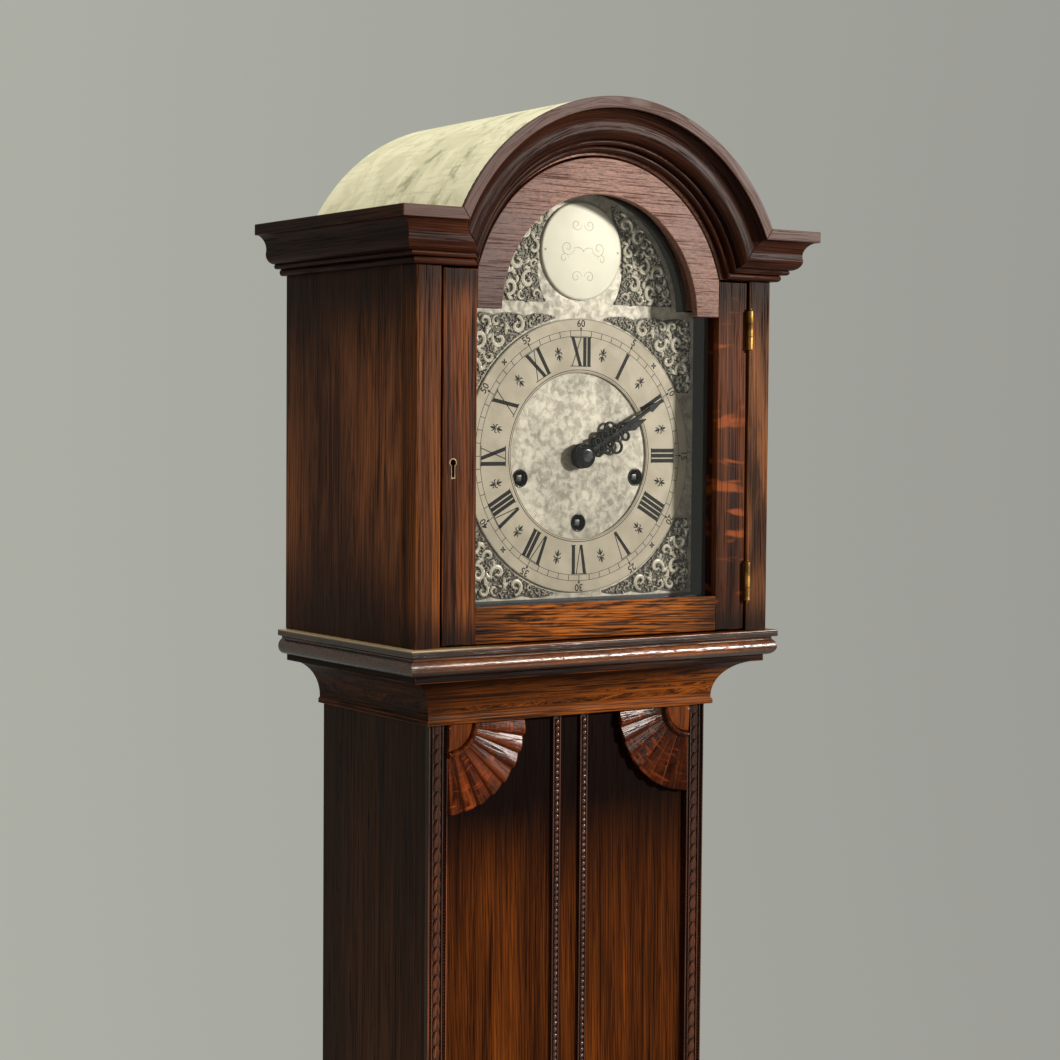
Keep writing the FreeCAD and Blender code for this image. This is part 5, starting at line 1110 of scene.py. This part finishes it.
def scrolls_and_leaves(outline, chance):
    """Scrolls packed into an outline from large to small, and short bent leaves strewn over the rest."""
    lows, highs = ([pick(point[axis] for point in outline) for axis in range(2)] for pick in (min, max))
    rounds, leaves = [], []
    for size in SCROLL_SIZES:
        for attempt in range(SCROLL_TRIES):
            x = chance.uniform(lows[0], highs[0])
            z = chance.uniform(lows[1], highs[1])
            if not inside(outline, x, z):
                continue
            if any(math.hypot(x - ox, z - oz) < size + other * 0.98 for ox, oz, other, *rest in rounds):
                continue
            ring = [(x + size * 0.96 * math.cos(step * 0.5), z + size * 0.96 * math.sin(step * 0.5))
                    for step in range(13)]
            if all(inside(outline, *spot) for spot in ring):
                rounds.append((x, z, size, chance.uniform(0, 2 * math.pi), chance.choice((-1, 1))))
    for attempt in range(LEAF_TRIES):
        x = chance.uniform(lows[0], highs[0])
        z = chance.uniform(lows[1], highs[1])
        long = chance.uniform(0.0011, 0.0021)
        turn = chance.uniform(0, 2 * math.pi)
        bend = chance.uniform(-1.1, 1.1)
        leaf = [(x + long * part * math.cos(turn + bend * part),
                 z + long * part * math.sin(turn + bend * part)) for part in (-1.0, -0.5, 0.0, 0.5, 1.0)]
        if any(math.hypot(x - other[2][0], z - other[2][1]) < LEAF_GAP for other in leaves):
            continue
        if all(inside(outline, *spot) for spot in leaf):
            leaves.append(leaf)
    return rounds, leaves


def ridges(outline, rounds, leaves):
    """The path, widths and rise of every raised line: leaves, then each scroll with its bud and sprouts."""
    for index, leaf in enumerate(leaves):
        wide = 0.00042 + 0.00022 * (index % 3)
        yield leaf, [wide * part for part in (0.2, 0.85, 1.0, 0.8, 0.15)], 0.0009 + 0.0002 * (index % 4)
    for x, z, size, start, way in rounds:
        turns, count = (0.95, 22) if size > LARGE_SCROLL else (0.7, 12)
        wide = max(0.00062, size * 0.24)
        widths = [wide * (0.75 + 0.5 * math.sin(math.pi * min(1.0, index / count * 1.2)))
                  for index in range(count + 1)]
        yield flourish(x, z, size * 0.9, start, turns, way, count), widths, 0.0019
        bud = [(x + size * 0.24 * math.cos(start + 0.3 * index),
                z + size * 0.24 * math.sin(start + 0.3 * index)) for index in range(-2, 3)]
        yield bud, [size * part for part in (0.05, 0.17, 0.22, 0.17, 0.05)], 0.0018
        for sprout in range(3):
            turn = start + sprout * 2.1
            out = Vector((math.cos(turn), math.sin(turn)))
            near = Vector((x, z)) + out * size * 0.86
            aside = Vector((math.cos(turn + way * 0.75), math.sin(turn + way * 0.75)))
            far = Vector((x, z)) + aside * size * 1.42
            mid = (near + far) / 2 + out * size * 0.16
            if inside(outline, *far):
                leaf = [tuple(near), tuple((near + mid) / 2), tuple(mid), tuple((mid + far) / 2), tuple(far)]
                yield leaf, [size * part for part in (0.08, 0.23, 0.27, 0.18, 0.04)], 0.0017


solids = bmesh.new()
solids.from_mesh(nodes["dial_spandrels"].data)
bmesh.ops.remove_doubles(solids, verts=solids.verts, dist=WELD)
bmesh.ops.dissolve_limit(solids, angle_limit=math.radians(0.3), verts=solids.verts, edges=solids.edges)
form = bmesh.new()
chance = random.Random("spandrel")
patterns = {}
for board in boards(solids):
    outline = rim(board)
    middle_x = sum(x for x, z in outline) / len(outline)
    middle_z = sum(z for x, z in outline) / len(outline)
    flip = -1 if middle_x < 0 else 1
    turn_over = -1 if middle_z < DIAL.z else 1
    key = "arch" if middle_z > Z_ARCH else "corner"
    prism(form, outline, SPAN_HIGH.y - SPAN_BACK, SPAN_BACK)
    if key not in patterns:
        local = [(x * flip, (z - DIAL.z) * turn_over) for x, z in outline]
        patterns[key] = list(ridges(local, *scrolls_and_leaves(local, chance)))
    for path, widths, rise in patterns[key]:
        ridge(form, [(x * flip, DIAL.z + z * turn_over) for x, z in path], widths, rise)
solids.free()
settle(built("spandrel_castings", form, cast_spandrel), "spandrel_metal", "dial_spandrels")

# The hands: pierced and filed from thin steel, blued nearly black, with a domed nut over them. Black
# collets round the winding holes are painted shade, standing in for the dark insides of the holes.
WINDING_HOLES = ((-0.0465, 1.3566), (0.0, 1.327), (0.0465, 1.3566))
COLLET_SECTION = ((0.0049, -0.0450), (0.0049, -0.0467), (0.0053, -0.0471), (0.0058, -0.0469),
                  (0.0060, -0.0466), (0.0060, -0.0464), (0.0052, -0.0450))
COLLET_PARTS, HAND_EASE = 40, 0.00028
black_steel = metal("black_steel", (16, 16, 18), (9, 9, 10), 0.4, 0.0, polish=0.12)
black_dome = metal("black_dome", (12, 12, 13), (7, 7, 8), 0.1, 0.0, polish=0.3)
rounded("hour_hand", black_steel, "black_steel", HAND_EASE)
rounded("minute_hand", black_steel, "black_steel", HAND_EASE)
rounded("hand_nut", black_dome, "black_steel", 0.0004)
# Painted shade: black collets that darken the winding holes as their shaded insides.
form = bmesh.new()
for hole in WINDING_HOLES:
    rings = [circle(form, hole, reach, y, COLLET_PARTS) for reach, y in COLLET_SECTION]
    skin(form, rings, ring=True, loop=True)
for face in form.faces:
    face.smooth = True
settle(built("winding_collets", form, black_dome), "black_steel", body="case")

# The movement: two brass plates on turned pillars, three spring barrels, the going train, motion
# work and anchor, screwed down on a plain deal seat board that its two cheeks carry.
steel = metal("grey_steel", (150, 150, 150), (104, 104, 106), 0.36)
# Painted shade: the winding arbors' steel is made near black, as their ends sit in the shade of the winding
# holes.
arbor_end = metal("arbor_end", (24, 24, 26), (11, 11, 12), 0.16, 0.0, polish=0.5)
planed("seat_board", deal, "deal")
dressed(brass, "front_plate", "back_plate", "spring_barrels", "going_train", "cannon_pinion", "minute_wheel",
        "hour_wheel", "movement_pillars", "back_cock")
dressed(steel, "ratchet_clicks", "anchor_and_crutch", "hammer_rail")
for word in ("strike", "going", "chime"):
    rounded(f"winding_arbor_{word}", arbor_end, "steel", 0.0009)

# The pendulum and chime: a steel rod with a lacquered brass bob and its rating nut, five rods in a
# cast block on the back board, and five brass hammers that swing together.
iron = metal("cast_iron", (62, 62, 66), (38, 38, 41), 0.55, 0.7, 700.0, pit=0.0002)
rounded("pendulum_bob", brass, "brass", 0.0003)
dressed(steel, "pendulum_rod", "gong_rods")
dressed(brass, "rating_nut", "chime_hammers")
dressed(iron, "gong_block")
